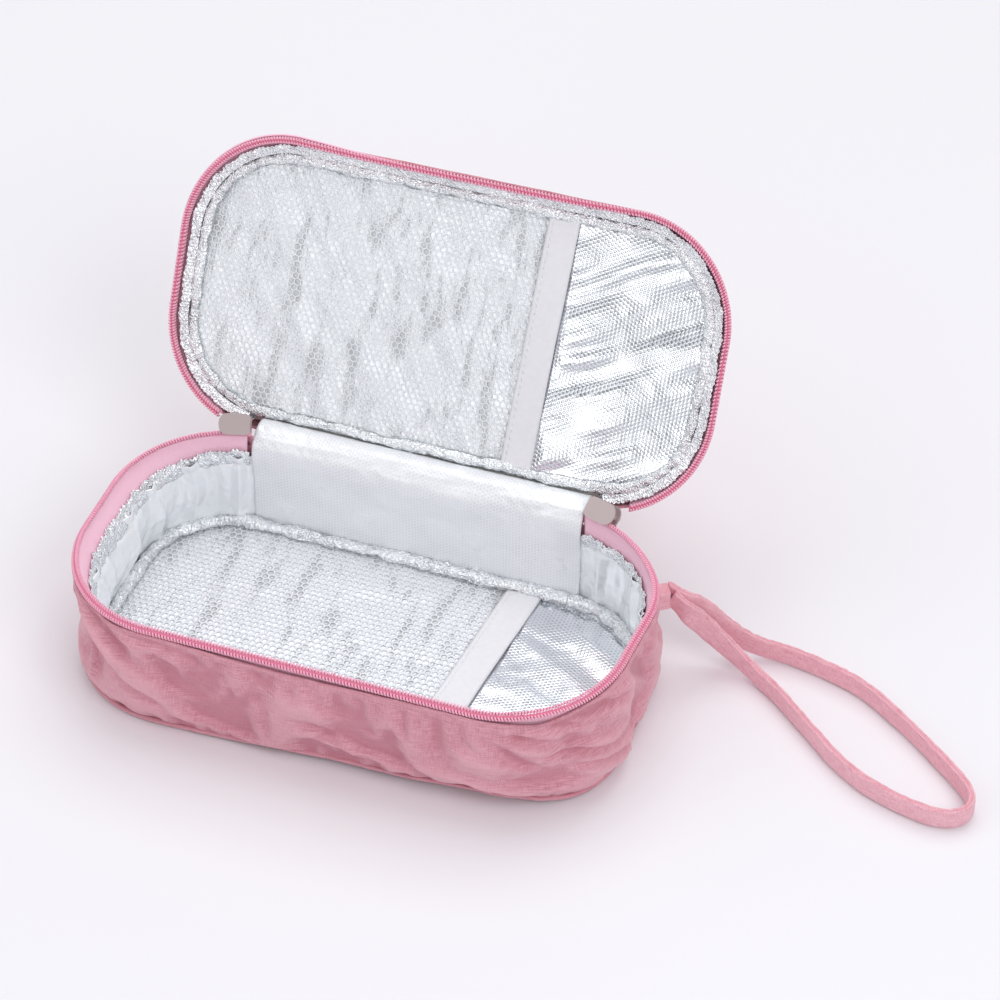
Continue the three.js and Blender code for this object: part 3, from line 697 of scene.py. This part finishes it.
def base_fabric():
    t = np.arange(SEAM_T, LEFT_T - SEAM_T + 0.6, 1.1)
    height = WALL_HEIGHT - tape_gap(t)
    z = 1.5 + height * column(0, 1, 44)
    top = unit((z - height + 0.3) / 2.0)
    relief = wall_folds(t, z) * (1 - top)
    # The relief also goes into the cloth coordinates, where the paint puts painted shade in its troughs and painted
    # highlight on its ridges.
    sheet("base_wall_cover", band(t, seam_tuck(t) + 0.7 * top ** 2 - relief, z), stacked(t, z, relief), PINK, "base",
          ["base_side_wall"], thickness=0.9, offset=-1)
    z = column(2, 41, 24)
    for side, middle in (("right", SEAM_T), ("left", LEFT_T - SEAM_T)):
        t = middle + np.linspace(-2.5, 2.5, 7)
        sheet(f"base_seam_{side}", band(t, 1.95, z), stacked(t, z), PINK, "base", thickness=0)
    t = np.arange(LEFT_T - SEAM_T + 0.3, ROUND + SEAM_T - 0.2, 1.2)
    z = column(1.5, 41.5, 32)
    relief = (0.4 * soft_noise(t / 24, z / 15, 9) + 0.2 * soft_noise(t / 9, z / 9, 8)) \
        * unit(z / 6) * unit((42 - z) / 6)
    sheet("base_back_cover", band(t, seam_tuck(t) - relief, z), stacked(t, z), PINK, "base", ["base_back_wall"],
          thickness=0.9, offset=-1)
    bottom = plate("base_bottom_cover", outline_number(base_outline, 0), 1.6, 1.6,
                   lambda x, y: 0.25 + 0.2 * (soft_noise(x / 30, y / 24, 11) + 1), PINK, "base",
                   ["base_bottom_panel"], outward=True)
    solidify(bottom, 0.9, 1)
    t = np.arange(0, ROUND, 1.4)
    points = ring(t, 0.6 + 0.12 * soft_noise(t / 6, 0, 2), 1.25, PIPING, base_outline)
    tube("base_bottom_welt", points, stacked(t, points[..., 2] * 2), PINK, "base", ["base_bottom_piping"])


# Zipper: coils wound from nylon wire, and woven tapes

def helix(t_start, t_end, inset, aside, z, width, height, outline):
    """Points of a nylon wire wound along the outline, as rings of six, with their cloth coordinates."""
    turns = (t_end - t_start) / COIL_PITCH
    steps = int(turns * 10)
    t = np.linspace(t_start, t_end, steps)
    inset = inset(t) + aside
    phase = 2 * math.pi * turns * np.linspace(0, 1, steps)
    out = (width - COIL_WIRE) / 2 * np.cos(phase)
    up = (height - COIL_WIRE) / 2 * np.sin(phase)
    centre = band(t, inset - out, z + up, outline)
    ahead = np.gradient(centre, axis=0)
    ahead /= np.linalg.norm(ahead, axis=1)[:, None]
    side = np.cross(ahead, centre - band(t, inset, z, outline))
    side /= np.maximum(np.linalg.norm(side, axis=1), 1e-9)[:, None]
    radial = np.cross(side, ahead)
    turn = np.radians(60 * np.arange(6))[:, None]
    points = centre[:, None] + COIL_WIRE / 2 * (np.cos(turn) * radial[:, None] + np.sin(turn) * side[:, None])
    return points, stacked(t[:, None], phase[:, None] + np.zeros(6))


# Each row of loops: its name, how far it is up and inwards, its width and its height in mm
BASE_LOOPS = (("loops", -0.5, -0.5, 1.6, 1.9), ("heads", 0.85, 0.8, 1.6, 1.9))
LID_LOOPS = (("loops", 0.0, -0.6, 1.3, 3.0), ("heads", 0.1, 0.72, 1.25, 2.8))


def lid_coil_inset(t):
    """The lid's coil sits near the wall's face, and further in along its front."""
    return 0.7 + 1.2 * np.exp(-((t - 217) / 56) ** 4)


def zipper(body, start, end, inset, coil_z, tape_low, tape_high, tape_lean, outline, rows):
    """One half of the zipper: a nylon coil of two rows of loops, its cord, and a woven tape."""
    for row, (label, rise, aside, width, height) in enumerate(rows):
        points, cloth = helix(start + 0.7 * row, end, inset, aside, coil_z + rise, width, height, outline)
        capped(f"{body}_coil_{label}", points, cloth, COIL, body, () if row else [f"{body}_zipper_coil"])
    t = np.arange(start, end, 1.2)
    core = ring(t, inset(t), coil_z, round_profile(1.0, 1.4, 8), outline).swapaxes(0, 1)
    level = (from_lid(core) if body == "lid" else core)[..., 2]
    capped(f"{body}_coil_cord", core, stacked(t[:, None], level), THREAD, body)
    share = column(0, 1, 14)
    z = tape_low + (tape_high - tape_low) * share
    lean = inset(t) + 0.2 + tape_lean * (1 - share) + 0.25 * soft_noise(t / 14, 0, 21) * np.sin(share * math.pi)
    if body == "lid":
        lean = lean - 2.1 * np.exp(-((t - 322) / 76) ** 4) * unit(share * 2 - 0.2)
    sheet(f"{body}_tape_band", band(t, lean, z, outline), stacked(t, z), TAPE, body, [f"{body}_zipper_tape"],
          thickness=0.6)


# Foil lining of the base

def under_net(obj, limit):
    """Gives the foil that lies under a net, left of the limit in mm, its own paint: a lighter, more diffuse copy of
    the foil, with painted dark reflection bands.
    """
    obj.data.materials.append(FOIL_NET)
    points = np.zeros(len(obj.data.vertices) * 3, np.float32)
    obj.data.vertices.foreach_get("co", points)
    x = points.reshape(-1, 3)[:, 0] / MM
    for polygon in obj.data.polygons:
        polygon.material_index = int(x[polygon.vertices[0]] < limit)
    return obj


def base_lining():
    """The smooth side foil with its pleats, its raw zigzag edge over the tape, and the floor sheet."""
    t = np.arange(SEAM_T - 2.6, LEFT_T - SEAM_T + 2.9, 0.62)
    s = column(0, 1, 46)
    low, high = 5.4, 37.4
    z = low + (high - low) * s
    wide = crumple(t, z * 0.5, 19, 4, 2)
    fine = crumple(t, z, 6, 7, 2)
    puff = 1.5 * np.sin(unit(s / 0.9) * math.pi) ** 0.7
    inset = 4.5 + puff * (0.8 + 0.7 * wide) + 0.12 * fine + pleats(t, s) - 0.7 * bell((s - 0.9) / 0.03)
    tuck = unit((np.minimum(t - SEAM_T, LEFT_T - SEAM_T - t) - 0.4) / 4)
    inset = 4.25 + np.maximum(inset - 4.25, 0.0) * tuck
    sheet("base_foil_wall", band(t, inset, z), stacked(t, z), FOIL_WALL, "base", ["base_side_liner"])
    t = np.arange(SEAM_T + 0.6, LEFT_T - SEAM_T - 0.4, 0.4)
    s = column(0, 1, 16)
    teeth = zigzag(t, 1.9) + 0.6 * soft_noise(t / 3, 0, 31) + 0.8 * soft_noise(t / 19, 0, 33)
    z = 33.2 + (5.9 + teeth) * s
    ruffle = 0.45 * crumple(t, z * 1.3, 2.6, 8, 3) + 0.3 * np.sin(t / 0.9 + 2 * soft_noise(t / 7, 0, 6)) * s
    inset = np.maximum(4.55 + 0.5 * np.sin(s * math.pi) + ruffle, 4.0 - 0.25 * s)
    sheet("base_foil_edge", band(t, inset, z), stacked(t, z), FOIL_EDGE, "base", thickness=0.25)
    floor = plate("base_foil_floor", outline_number(base_outline, 5), 5.0, 1.15, base_floor_level, FOIL, "base",
                  ["base_floor_liner"])
    solidify(under_net(floor, 40), 0.3)
    binding("base", "base_floor_binding", base_outline, 7.2, 7.8, 5.2, 4.4)


def base_floor_level(x, y):
    bare = unit((x - 34) / 12)
    right = 0.5 * (sheen_waves(x, y, -0.5, 26, 9, 12) + 1.1) + 0.2 * (crumple(x, y, 9, 13, 2) + 1)
    left = 0.4 * (sheen_waves(x, y, 0.12, 45, 12, 15) + 1.1)
    return 5.5 + bare * right + (1 - bare) * left


PLEATS = (
    (424, 4.5, 2.2), (413, 4.0, -1.4), (402, 5.0, 2.6), (391, 3.6, -1.6), (382, 4.2, 2.4), (372, 3.4, -1.6),
    (360, 5.0, 2.4), (346, 4.0, -1.4), (332, 5.0, 1.8), (310, 5.0, 1.4), (14, 4.0, 1.6), (26, 4.5, -1.4),
    (38, 4.5, 2.2), (50, 4.0, -1.4), (61, 5.0, 2.0), (84, 5.0, 1.4), (250, 6.0, 1.0), (215, 5.0, -1.0),
    (180, 6.0, 1.0), (150, 5.0, 1.2),
)


def pleats(t, s):
    """Upright pleats in the side foil, creased along their lines and strongest at the back left."""
    result = 0
    for middle, width, depth in PLEATS:
        lean = 5.0 * np.sin(middle) * (s - 0.5)
        away = np.abs((t - middle - lean) / width)
        result = result + depth * np.maximum(1 - away, 0) ** 1.2 * unit(s * 1.5 + 0.15)
    return result


def binding(body, node, outline, inset, z, width, height):
    """The puffy foil strip sewn over the seam round a panel."""
    t = np.arange(0, ROUND, 0.6)
    out, up = np.array(round_profile(width, height, 18, 2.4)).T[:, :, None]
    x, y, _ = band(t, inset, z, outline).T
    angle = np.arctan2(up, out)
    dents = 0.25 * crumple(x + 9 * np.cos(angle), y + 9 * np.sin(angle), 2.6, 17, 3)
    knots = -0.35 * np.maximum(soft_noise(t / 2.3, 0, 29) - 0.35, 0)
    squeeze = 1 + dents + knots + 0.14 * soft_noise(x / 9, y / 9, 4)
    points = band(t, inset - out * squeeze + 0.4 * soft_noise(x / 15, y / 15, 7), z + up * squeeze, outline)
    tube(f"{body}_foil_binding", points, stacked(t, angle * 2.2), FOIL_EDGE, body, [node])


# Nets and the tapes over their mouths

def net_mesh(outline, inset, low_x, high_x, pitch, strand):
    """A knitted net of six-sided cells: each is a ring of quads round its hole."""
    radius = pitch / math.sqrt(3)
    turn = np.radians(30 + 60 * np.arange(6))
    corner = radius * stacked(np.cos(turn), np.sin(turn))
    share = 1 - strand / pitch
    index, points, faces = {}, [], []

    def vertex(px, py):
        key = (round(px, 2), round(py, 2))
        if key not in index:
            index[key] = len(points)
            points.append((px, py))
        return index[key]

    for row in range(-60, 61):
        for col in range(-60, 61):
            cx, cy = (col + 0.5 * (row % 2)) * pitch, row * pitch * math.sqrt(0.75)
            if not low_x + pitch / 2 <= cx <= high_x - pitch / 2 + 0.01:
                continue
            if depth_in(outline, np.array(cx), np.array(cy), inset)[0] < 0:
                continue
            outer = [vertex(cx + dx, cy + dy) for dx, dy in corner]
            inner = [vertex(cx + share * dx, cy + share * dy) for dx, dy in corner]
            faces += [(outer[k], outer[(k + 1) % 6], inner[(k + 1) % 6], inner[k]) for k in range(6)]
    return np.array(points), faces


def base_pocket():
    outline = outline_number(base_outline, 6)
    pocket_net("base", outline, 8.6, -93, 36, 2.6, 0.5, lambda x, y: base_floor_level(x, y) + NET_RISE, 47)
    pocket_tape("base", outline, 9.4, 32.4, 45.2, 7.3, 4.9)


def pocket_net(body, outline, inset, low_x, high_x, pitch, strand, level, seed):
    """The pocket's net, its yarn a little irregular: level gives its height at (x, y)."""
    cloth, faces = net_mesh(outline, inset, low_x, high_x, pitch, strand)
    x, y = cloth.T
    stray = [0.16 * soft_noise(x / 1.7, y / 1.7, seed + k) for k in (0, 1)]
    points = stacked(x + stray[0], y + stray[1], level(x, y))
    yarn = make(f"{body}_net_yarn", points, faces, cloth, NET, body, [f"{body}_pocket_net"], outward=False)
    solidify(yarn, 0.16)


BOX_FACES = ((0, 3, 2, 1), (4, 5, 6, 7), (0, 1, 5, 4), (1, 2, 6, 5), (2, 3, 7, 6), (3, 0, 4, 7))


def pocket_tape(body, outline, inset, low_x, high_x, level, lean):
    """White tape folded over the net's edge, sewn down only at its ends, with a row of stitches."""
    up = -1 if body == "lid" else 1
    v, u = np.meshgrid(np.arange(-60, 60.1, 0.9), np.linspace(0, 1, 14), indexing="ij")
    x = low_x + (high_x - low_x) * u + lean * v / 50
    keep = (depth_in(outline, x, v, inset)[0] > -0.4).all(1)
    x, v, u = x[keep], v[keep], u[keep]
    sag = 0.5 * np.sin((v - v.min()) / (v.max() - v.min()) * math.pi)
    rim = 0.35 * np.abs(2 * u - 1) ** 8
    points = stacked(x, v, level + (sag + 0.25 * soft_noise(v / 16, u * 2, 51) - rim) * up)
    sheet(f"{body}_mouth_tape", points, stacked(x, v), WHITE_TAPE, body, [f"{body}_pocket_tape"],
          thickness=0.7)
    stitches, faces = [], []
    rise, wide = np.array([0, 0, 0.5 * up]), np.array([0.28, 0, 0])
    for row in range(2, len(v) - 3, 3):
        a, b = points[row, 2], points[row + 2, 2]
        faces += [[len(stitches) + k for k in face] for face in BOX_FACES]
        stitches += [a - wide, a + wide, b + wide, b - wide, a - wide * 0.5 + rise, a + wide * 0.5 + rise,
                     b + wide * 0.5 + rise, b - wide * 0.5 + rise]
    stitches = np.array(stitches)
    make(f"{body}_mouth_tape_stitches", stitches, faces, stitches[:, :2], WHITE_TAPE, body)


# Lid

def sheen_waves(x, y, lean, length, width, seed):
    """Long shallow waves in a sheet, running along the leaning direction."""
    c, s = math.cos(lean), math.sin(lean)
    u, v = x * c + y * s, y * c - x * s
    bend = 3.0 * soft_noise(u / 25, v / 30, seed + 5)
    across = (v + bend) / width
    return soft_noise(u / length, across, seed) + 0.4 * soft_noise(u / length * 2, across * 2.2, seed + 1)


def lid_relief(x, y):
    """How far the lid's foil stands in from its back, in mm."""
    bare = unit((x - 32) / 10)
    right = 1.1 * (sheen_waves(x, y, -0.42, 46, 9.5, 73) + 1.1)
    left = 0.62 * (sheen_waves(x, y, 1.0, 46, 9, 75) + 1.1)
    return bare * right + (1 - bare) * left + 0.12 * (crumple(x, y, 14, 72, 2) + 1)


def lid_panel_level(x, y):
    """The height of the lid's foil, in the closed lid's own place."""
    return LID_PANEL - lid_relief(x, y)


def lid_crown(x, y):
    """The height of the lid's outer panel: puffed in the middle, puckered along its edge."""
    depth = depth_in(outline_number(lid_outline, 11.5), x, y, 0.0)[0]
    height = 11.9 + 2.0 * (1 - np.exp(-depth / 14)) + 0.3 * soft_noise(x / 25, y / 20, 63) * unit(depth / 10)
    return height + 0.35 * soft_noise(x / 6, y / 6, 65) * unit(depth / 2) * np.exp(-depth / 10)


def lid_drawn(t):
    """How far the lid's outer edge is drawn in along its front and sides, in mm."""
    return 2.0 * bell(np.maximum(np.abs(t - 145) - 120, 0) / 20)


def lid_parts():
    t = np.arange(SEAM_T - 4.4, LEFT_T + 1.7, 1.1)
    z = column(4.9, 10.6, 9)
    share = (z - 4.9) / 5.7
    puff = 0.3 * np.sin(share * math.pi) + 0.15 * soft_noise(t / 12, z / 5, 61)
    sheet("lid_wall_cover", band(t, 0.4 - puff + lid_drawn(t) * share, z, lid_outline), stacked(t, z), PINK,
          "lid", ["lid_side_wall"], thickness=0.8, offset=-1)
    top = plate("lid_top_cover", outline_number(lid_outline, 11.5), 1.5, 1.5, lid_crown, PINK, "lid",
                ["lid_top_panel"], outward=True)
    solidify(top, 0.9)
    t = np.arange(0, ROUND, 1.4)
    points = ring(t, 0.8 + lid_drawn(t) + 0.1 * soft_noise(t / 6, 0, 2), 11.4, PIPING, lid_outline)
    tube("lid_top_welt", points, stacked(t, 2 * np.arange(10)[:, None] / 3), PINK, "lid", ["lid_top_piping"])
    start, end = SEAM_T - 1.5, LEFT_T - SEAM_T + 1.5
    t = np.arange(start, end + 0.3, 0.62)
    s = column(0, 1, 16)
    lip = unit((0.25 - s) / 0.25)
    z = 4.7 + 3.4 * s - (zigzag(t, 2.1) + 0.4 * soft_noise(t / 4, 0, 66)) * lip
    inset = 3.3 + 2.1 * s + 0.25 * crumple(t, s * 6, 4, 19, 2) + 0.2 * lip
    sheet("lid_foil_wall", band(t, inset, z, lid_outline), stacked(t, z), FOIL_EDGE, "lid", ["lid_side_liner"])
    t = np.arange(start + 2, end - 1.7, 0.4)
    s = column(0, 1, 12)
    ragged = 0.5 * zigzag(t, 1.9) + 0.45 * soft_noise(t / 3, 0, 131)
    inset = 2.9 - ragged * (1 - s) ** 2 + 2.9 * s
    z = 3.5 + 1.3 * s + 0.4 * crumple(t, s * 5, 2.4, 133, 3) * np.sin(unit(s + 0.25) * math.pi) ** 0.5
    sheet("lid_foil_edge", band(t, inset, z, lid_outline), stacked(t, s * 3.2), FOIL_EDGE, "lid",
          thickness=0.22)
    panel = plate("lid_foil_panel", outline_number(lid_outline, LID_PANEL), 5.4, 1.0, lid_panel_level, FOIL, "lid",
                  ["lid_panel_liner"])
    solidify(under_net(panel, 34), 0.3)
    binding("lid", "lid_panel_binding", lid_outline, 7.3, 6.0, 3.9, 3.6)
    outline = outline_number(lid_outline, 6)
    pocket_net("lid", outline, 8.8, -96, 31, 2.4, 0.42, lambda x, y: lid_panel_level(x, y) - NET_RISE, 77)
    pocket_tape("lid", outline, 8.2, 28.3, 39.5, 5.3, -1.3)


# The soft hinge at the back

def smooth_path(points, count):
    points = np.array(points, float)
    gaps = np.concatenate([[0], np.cumsum(np.linalg.norm(np.diff(points, axis=0), axis=1))])
    fine = np.linspace(0, gaps[-1], count)
    path = np.stack([np.interp(fine, gaps, points[:, k]) for k in range(points.shape[1])], -1)
    for _ in range(3):
        path[1:-1] = (path[:-2] + 2 * path[1:-1] + path[2:]) / 4
    return fine, path


def hinge_parts():
    """The foil sheet and the fabric strip that bend across the hinge."""
    xs = np.linspace(-62.6, 62.6, 150)
    low_z = np.linspace(5.6, 37.5, 30)
    lower = band(np.where(xs > -FRONT / 2, ROUND - FRONT / 2 + xs, LEFT_T), 4.75, low_z[:, None])
    lower[..., 0] = xs
    distance, upper = smooth_path(
        [(51.1, 38.6), (51.5, 41), (53, 44), (56, 46.3), (59.8, 47), (62.8, 45.8), (65.9, 43.4)], 26)
    points = np.concatenate([lower, stacked(xs, upper[:, :1], upper[:, 1:])])
    along = np.concatenate([low_z, 38.6 + distance])[:, None]
    ahead = np.gradient(points, axis=0)
    inwards = stacked(0, -ahead[..., 2], ahead[..., 1])
    inwards /= np.linalg.norm(inwards, axis=2)[..., None]
    dent = 0.5 * sheen_waves(xs, along, 0.5, 40, 11, 91) + 0.25 * crumple(xs, along, 14, 92, 3)
    dent = dent * unit(along / 8 - 0.7)
    crease = -0.8 * bell((along - 46 - 1.2 * soft_noise(xs / 30, 0, 93)) / 1.3)
    gathers = 0.4 * np.abs(np.sin(math.pi * (xs + 0.9 * along) / 5.2 + 1.5 * soft_noise(xs / 9, along / 9, 97)))
    gathers = gathers * unit((along - 40) / 5) * np.clip(0.6 + soft_noise(xs / 14, along / 20, 98), 0, 1.3)
    points += inwards * ((np.abs(dent + crease) + gathers) * unit((60 - along) / 12))[..., None]
    foil = sheet("back_foil_sheet", points, stacked(xs, along), FOIL_BACK, None,
                 ["base_back_liner", "hinge_liner_strip"], thickness=0)
    apply_thickness(foil, 0.35)
    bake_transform(foil)
    distance, outer = smooth_path(
        [(55, 40.6), (55.1, 42.6), (56.4, 44.2), (58.6, 43.6), (65.6, 39.2), (66.7, 38.7)], 26)
    distance = distance[:, None]
    xs = np.linspace(-62.4, 62.4, 120)
    points = stacked(xs, outer[:, :1], outer[:, 1:] + 0.25 * soft_noise(xs / 16, distance / 8, 95))
    cover = sheet("hinge_cover", points, stacked(xs, distance), PINK, None, ["hinge_outer_strip"], thickness=0)
    apply_thickness(cover, 0.9)
    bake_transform(cover)


# Sliders with their ribbon pulls

def sliders():
    """The CAD's slider bodies, rounded, and a ribbon looped through each one's bail."""
    for side, sign in (("left", -1), ("right", 1)):
        node = frame["nodes"][f"slider_{side}"]
        node.data.materials.clear()
        node.data.materials.append(METAL)
        rounded(node, 0.35)
        angle = math.radians(90 - PARKED * sign)
        out = np.array([math.cos(angle), math.sin(angle), 0])
        along = np.array([-out[1], out[0], 0])
        x, y, z = SLIDER_CENTRE
        crown = np.array([sign * x, y, z - BAIL]) + out * (SLIDER_RADIUS + BAIL)
        turn = np.radians(np.arange(215, -36, -25))
        _, path = smooth_path([
            (-0.36, -23.8), (-0.36, -12), (-0.4, -4.5), *(1.42 * stacked(np.cos(turn), np.sin(turn))),
            (0.4, -4.5), (0.36, -12), (0.36, -23.8)], 90)
        widths = np.linspace(-2.9, 2.9, 9)
        points = crown + (out * path[:, :1] + np.array([0, 0, 1]) * path[:, 1:])[:, None] + along * widths[:, None]
        distance = np.arange(len(path))[:, None] * 0.6
        sheet(f"pull_ribbon_{side}", points, stacked(distance, widths), RIBBON, f"pull_{side}_body",
              [f"slider_pull_{side}"], thickness=0.5)


# Wrist strap

def catmull(points, per_span):
    """A smooth curve through points, with a given number of steps to each span."""
    points = np.array(points, float)
    padded = np.vstack([2 * points[0] - points[1], points, 2 * points[-1] - points[-2]])
    result = []
    for i in range(1, len(padded) - 2):
        p0, p1, p2, p3 = padded[i - 1:i + 3]
        for k in range(per_span):
            u = k / per_span
            result.append(0.5 * (2 * p1 + (p2 - p0) * u + (2 * p0 - 5 * p1 + 4 * p2 - p3) * u * u
                                 + (3 * p1 - p0 - 3 * p2 + p3) * u ** 3))
    result.append(padded[-2])
    return np.array(result)


def strap_ends():
    """Where the strap's two ends meet the root on the back right corner's wall."""
    angle = math.radians(32)
    out = np.array([math.cos(angle), math.sin(angle)])
    along = np.array([out[1], -out[0]])
    reach, spot = [], None
    for z in (27.0, 35.0):
        x, y = on_outline(base_outline(np.array([z])), np.array([math.radians(58) * RIM["radius"]]), np.array([0.0]))
        reach.append(float(x[0] * out[0] + y[0] * out[1]))
        spot = np.array([x[0], y[0]]) if spot is None else spot
    start = spot + out * (max(reach) - spot @ out + 0.3)
    return start, out, along


def strap():
    """The folded tube of fabric, lying along its route, and its root on the wall."""
    start, out, along = strap_ends()
    ends = []
    for aside in (-STRAP_GAP, STRAP_GAP):
        for forward in (0.3, 0.9):
            p = start + out * (5 + forward) + along * aside
            ends.append((p[0], p[1], 31.0))
    centre = catmull([ends[0], ends[1], *STRAP_ROUTE, ends[3], ends[2]], 12)
    step = np.linalg.norm(np.diff(centre, axis=0), axis=1)
    length = np.concatenate([[0], np.cumsum(step)])
    even = np.arange(0, length[-1], 0.9)
    centre = np.stack([np.interp(even, length, centre[:, k]) for k in range(3)], -1)
    ahead = np.gradient(centre, axis=0)
    ahead /= np.linalg.norm(ahead, axis=1)[:, None]
    up = np.array([0, 0, 1.0]) - ahead * ahead[:, 2:]
    up /= np.linalg.norm(up, axis=1)[:, None]
    side = np.cross(up, ahead)
    half, thick = 3.95, 1.1
    right = [(0.25, half - 0.9), (0.45, half), (0.95, half + 0.05), (thick, half - 0.6), (thick + 0.15, 1.5),
             (thick + 0.1, -1.8), (thick, -half + 0.7), (0.5, -half)]
    section = right + [(-a, b) for a, b in right[::-1]]
    a, b = np.array(section).T
    wave = 1 + 0.10 * soft_noise(even / 7, 0, 101)[:, None]
    pucker = 0.22 * soft_noise(even / 1.6, 0, 103)[:, None]
    lift = b + pucker * (b > half - 1)
    points = centre[:, None] + side[:, None] * (a * wave)[..., None] + up[:, None] * lift[..., None]
    points[..., 2] = np.maximum(points[..., 2], 0.15)
    around = np.cumsum([0] + [math.dist(section[k], section[k + 1]) for k in range(len(section) - 1)])
    body = capped("strap_tube", points, stacked(even[:, None], around), STRAP_PINK, "base", ["wrist_strap"])
    strap_root(start, out, along)


def strap_root(start, out, along):
    """The two ends folded together and sewn to the wall."""
    half = STRAP_GAP + 1.1
    plan = np.array([(0, -half - 0.6), (1.5, -half - 0.2), (5, -half), (5, half), (1.5, half + 0.2), (0, half + 0.6)])
    x, y = (start + plan[:, :1] * out + plan[:, 1:] * along).T
    points = stacked(x, y, column(27.1, 34.9, 12))
    rounded(capped("strap_fold", points, points[..., ::2], STRAP_PINK, "base", ["strap_root"]), 0.6)


# Foams inside the covers

def foams():
    """The foams behind the covers, which follow the soft shape."""
    for name, start, end, top in (("side", SEAM_T, LEFT_T - SEAM_T + 0.5, 34.4),
                                  ("back", LEFT_T - SEAM_T + 0.4, ROUND + SEAM_T - 0.3, 36.4)):
        t = np.arange(start, end, 2.0)
        z = column(5.0, top, 12)
        sheet(f"base_foam_{name}", band(t, 2.95, z), stacked(t, z), FOAM, "base", [f"base_{name}_foam"],
              thickness=1.5)
    for body, name, outline, level, inset, thickness in (("base", "floor", base_outline, 2, 2.4, 2.6),
                                                         ("lid", "top", lid_outline, 9.7, 3.0, 2.3)):
        middle = 3.0 if body == "base" else level
        foam = plate(f"{body}_foam_{name}", outline_number(outline, level), inset, 2.4, lambda x, y: middle, FOAM,
                     body, [f"{body}_{name}_foam"])
        solidify(foam, thickness)


# Table and light: an even sky, with brighter and darker patches where foil mirrors it

SKY = 0.51
MIRROR_DARK = 0.14
MIRROR_BRIGHT = 1.0

LAMPS = {
    "key": ((0.8, -0.55, 1.0), 0.7, 4.8), "fill": ((-1.0, -0.3, 1.0), 1.2, 3.0),
    "front": ((-0.35, -1.22, 0.47), 0.45, 1.0), "top": ((0.0, 0.65, 1.5), 1.3, 10.5),
}


def studio():
    floor = bpy.data.meshes.new("table")
    floor.from_pydata([(-6, -6, 0), (6, -6, 0), (6, 6, 0), (-6, 6, 0)], [], [(0, 1, 2, 3)])
    table = linked("table", floor)
    table.location.z = -0.0002
    material = bpy.data.materials.new("pale_table")
    material.use_nodes = True
    shader = material.node_tree.nodes["Principled BSDF"]
    shader.inputs["Base Color"].default_value = shade(241, 240, 244)
    shader.inputs["Roughness"].default_value = 0.9
    table.data.materials.append(material)
    world = bpy.data.worlds.new("studio")
    bpy.context.scene.world = world
    world.use_nodes = True
    tree = world.node_tree
    background = tree.nodes["Background"]
    background.inputs["Color"].default_value = (0.965, 0.975, 1.0, 1)
    coords = tree.nodes.new("ShaderNodeTexCoord")
    patches = tree.nodes.new("ShaderNodeTexNoise")
    patches.inputs["Scale"].default_value = 3.0
    patches.inputs["Detail"].default_value = 2.0
    level = tree.nodes.new("ShaderNodeMapRange")
    for key, value in (("From Min", 0.42), ("From Max", 0.54), ("To Min", MIRROR_DARK), ("To Max", MIRROR_BRIGHT)):
        level.inputs[key].default_value = value
    path = tree.nodes.new("ShaderNodeLightPath")
    choice = tree.nodes.new("ShaderNodeMix")
    choice.inputs[2].default_value = SKY
    for source, target in ((coords.outputs["Generated"], patches.inputs["Vector"]),
                           (patches.outputs[0], level.inputs["Value"]),
                           (path.outputs["Is Glossy Ray"], choice.inputs[0]),
                           (level.outputs[0], choice.inputs[3]),
                           (choice.outputs[0], background.inputs["Strength"])):
        tree.links.new(source, target)
    for name, (place_at, size, power) in LAMPS.items():
        data = bpy.data.lights.new(name, "AREA")
        data.size = size
        data.energy = power
        lamp = linked(name, data)
        lamp.location = place_at
        lamp.rotation_euler = (Vector(place_at) - Vector((0, 0.03, 0.03))).to_track_quat("Z", "Y").to_euler()


add_camera()
strap()
base_fabric()
zipper("base", SEAM_T + 1, LEFT_T - SEAM_T - 1, lambda t: 2.0, 46.3, 37.0, 45.6, 1.5, base_outline, BASE_LOOPS)
base_lining()
base_pocket()
zipper("lid", 17.5, LEFT_T - 17.5, lid_coil_inset, 1.95, 8.2, 3.6, 1.9, lid_outline, LID_LOOPS)
lid_parts()
hinge_parts()
sliders()
foams()
studio()

scene = bpy.context.scene
scene.view_settings.view_transform = "Standard"
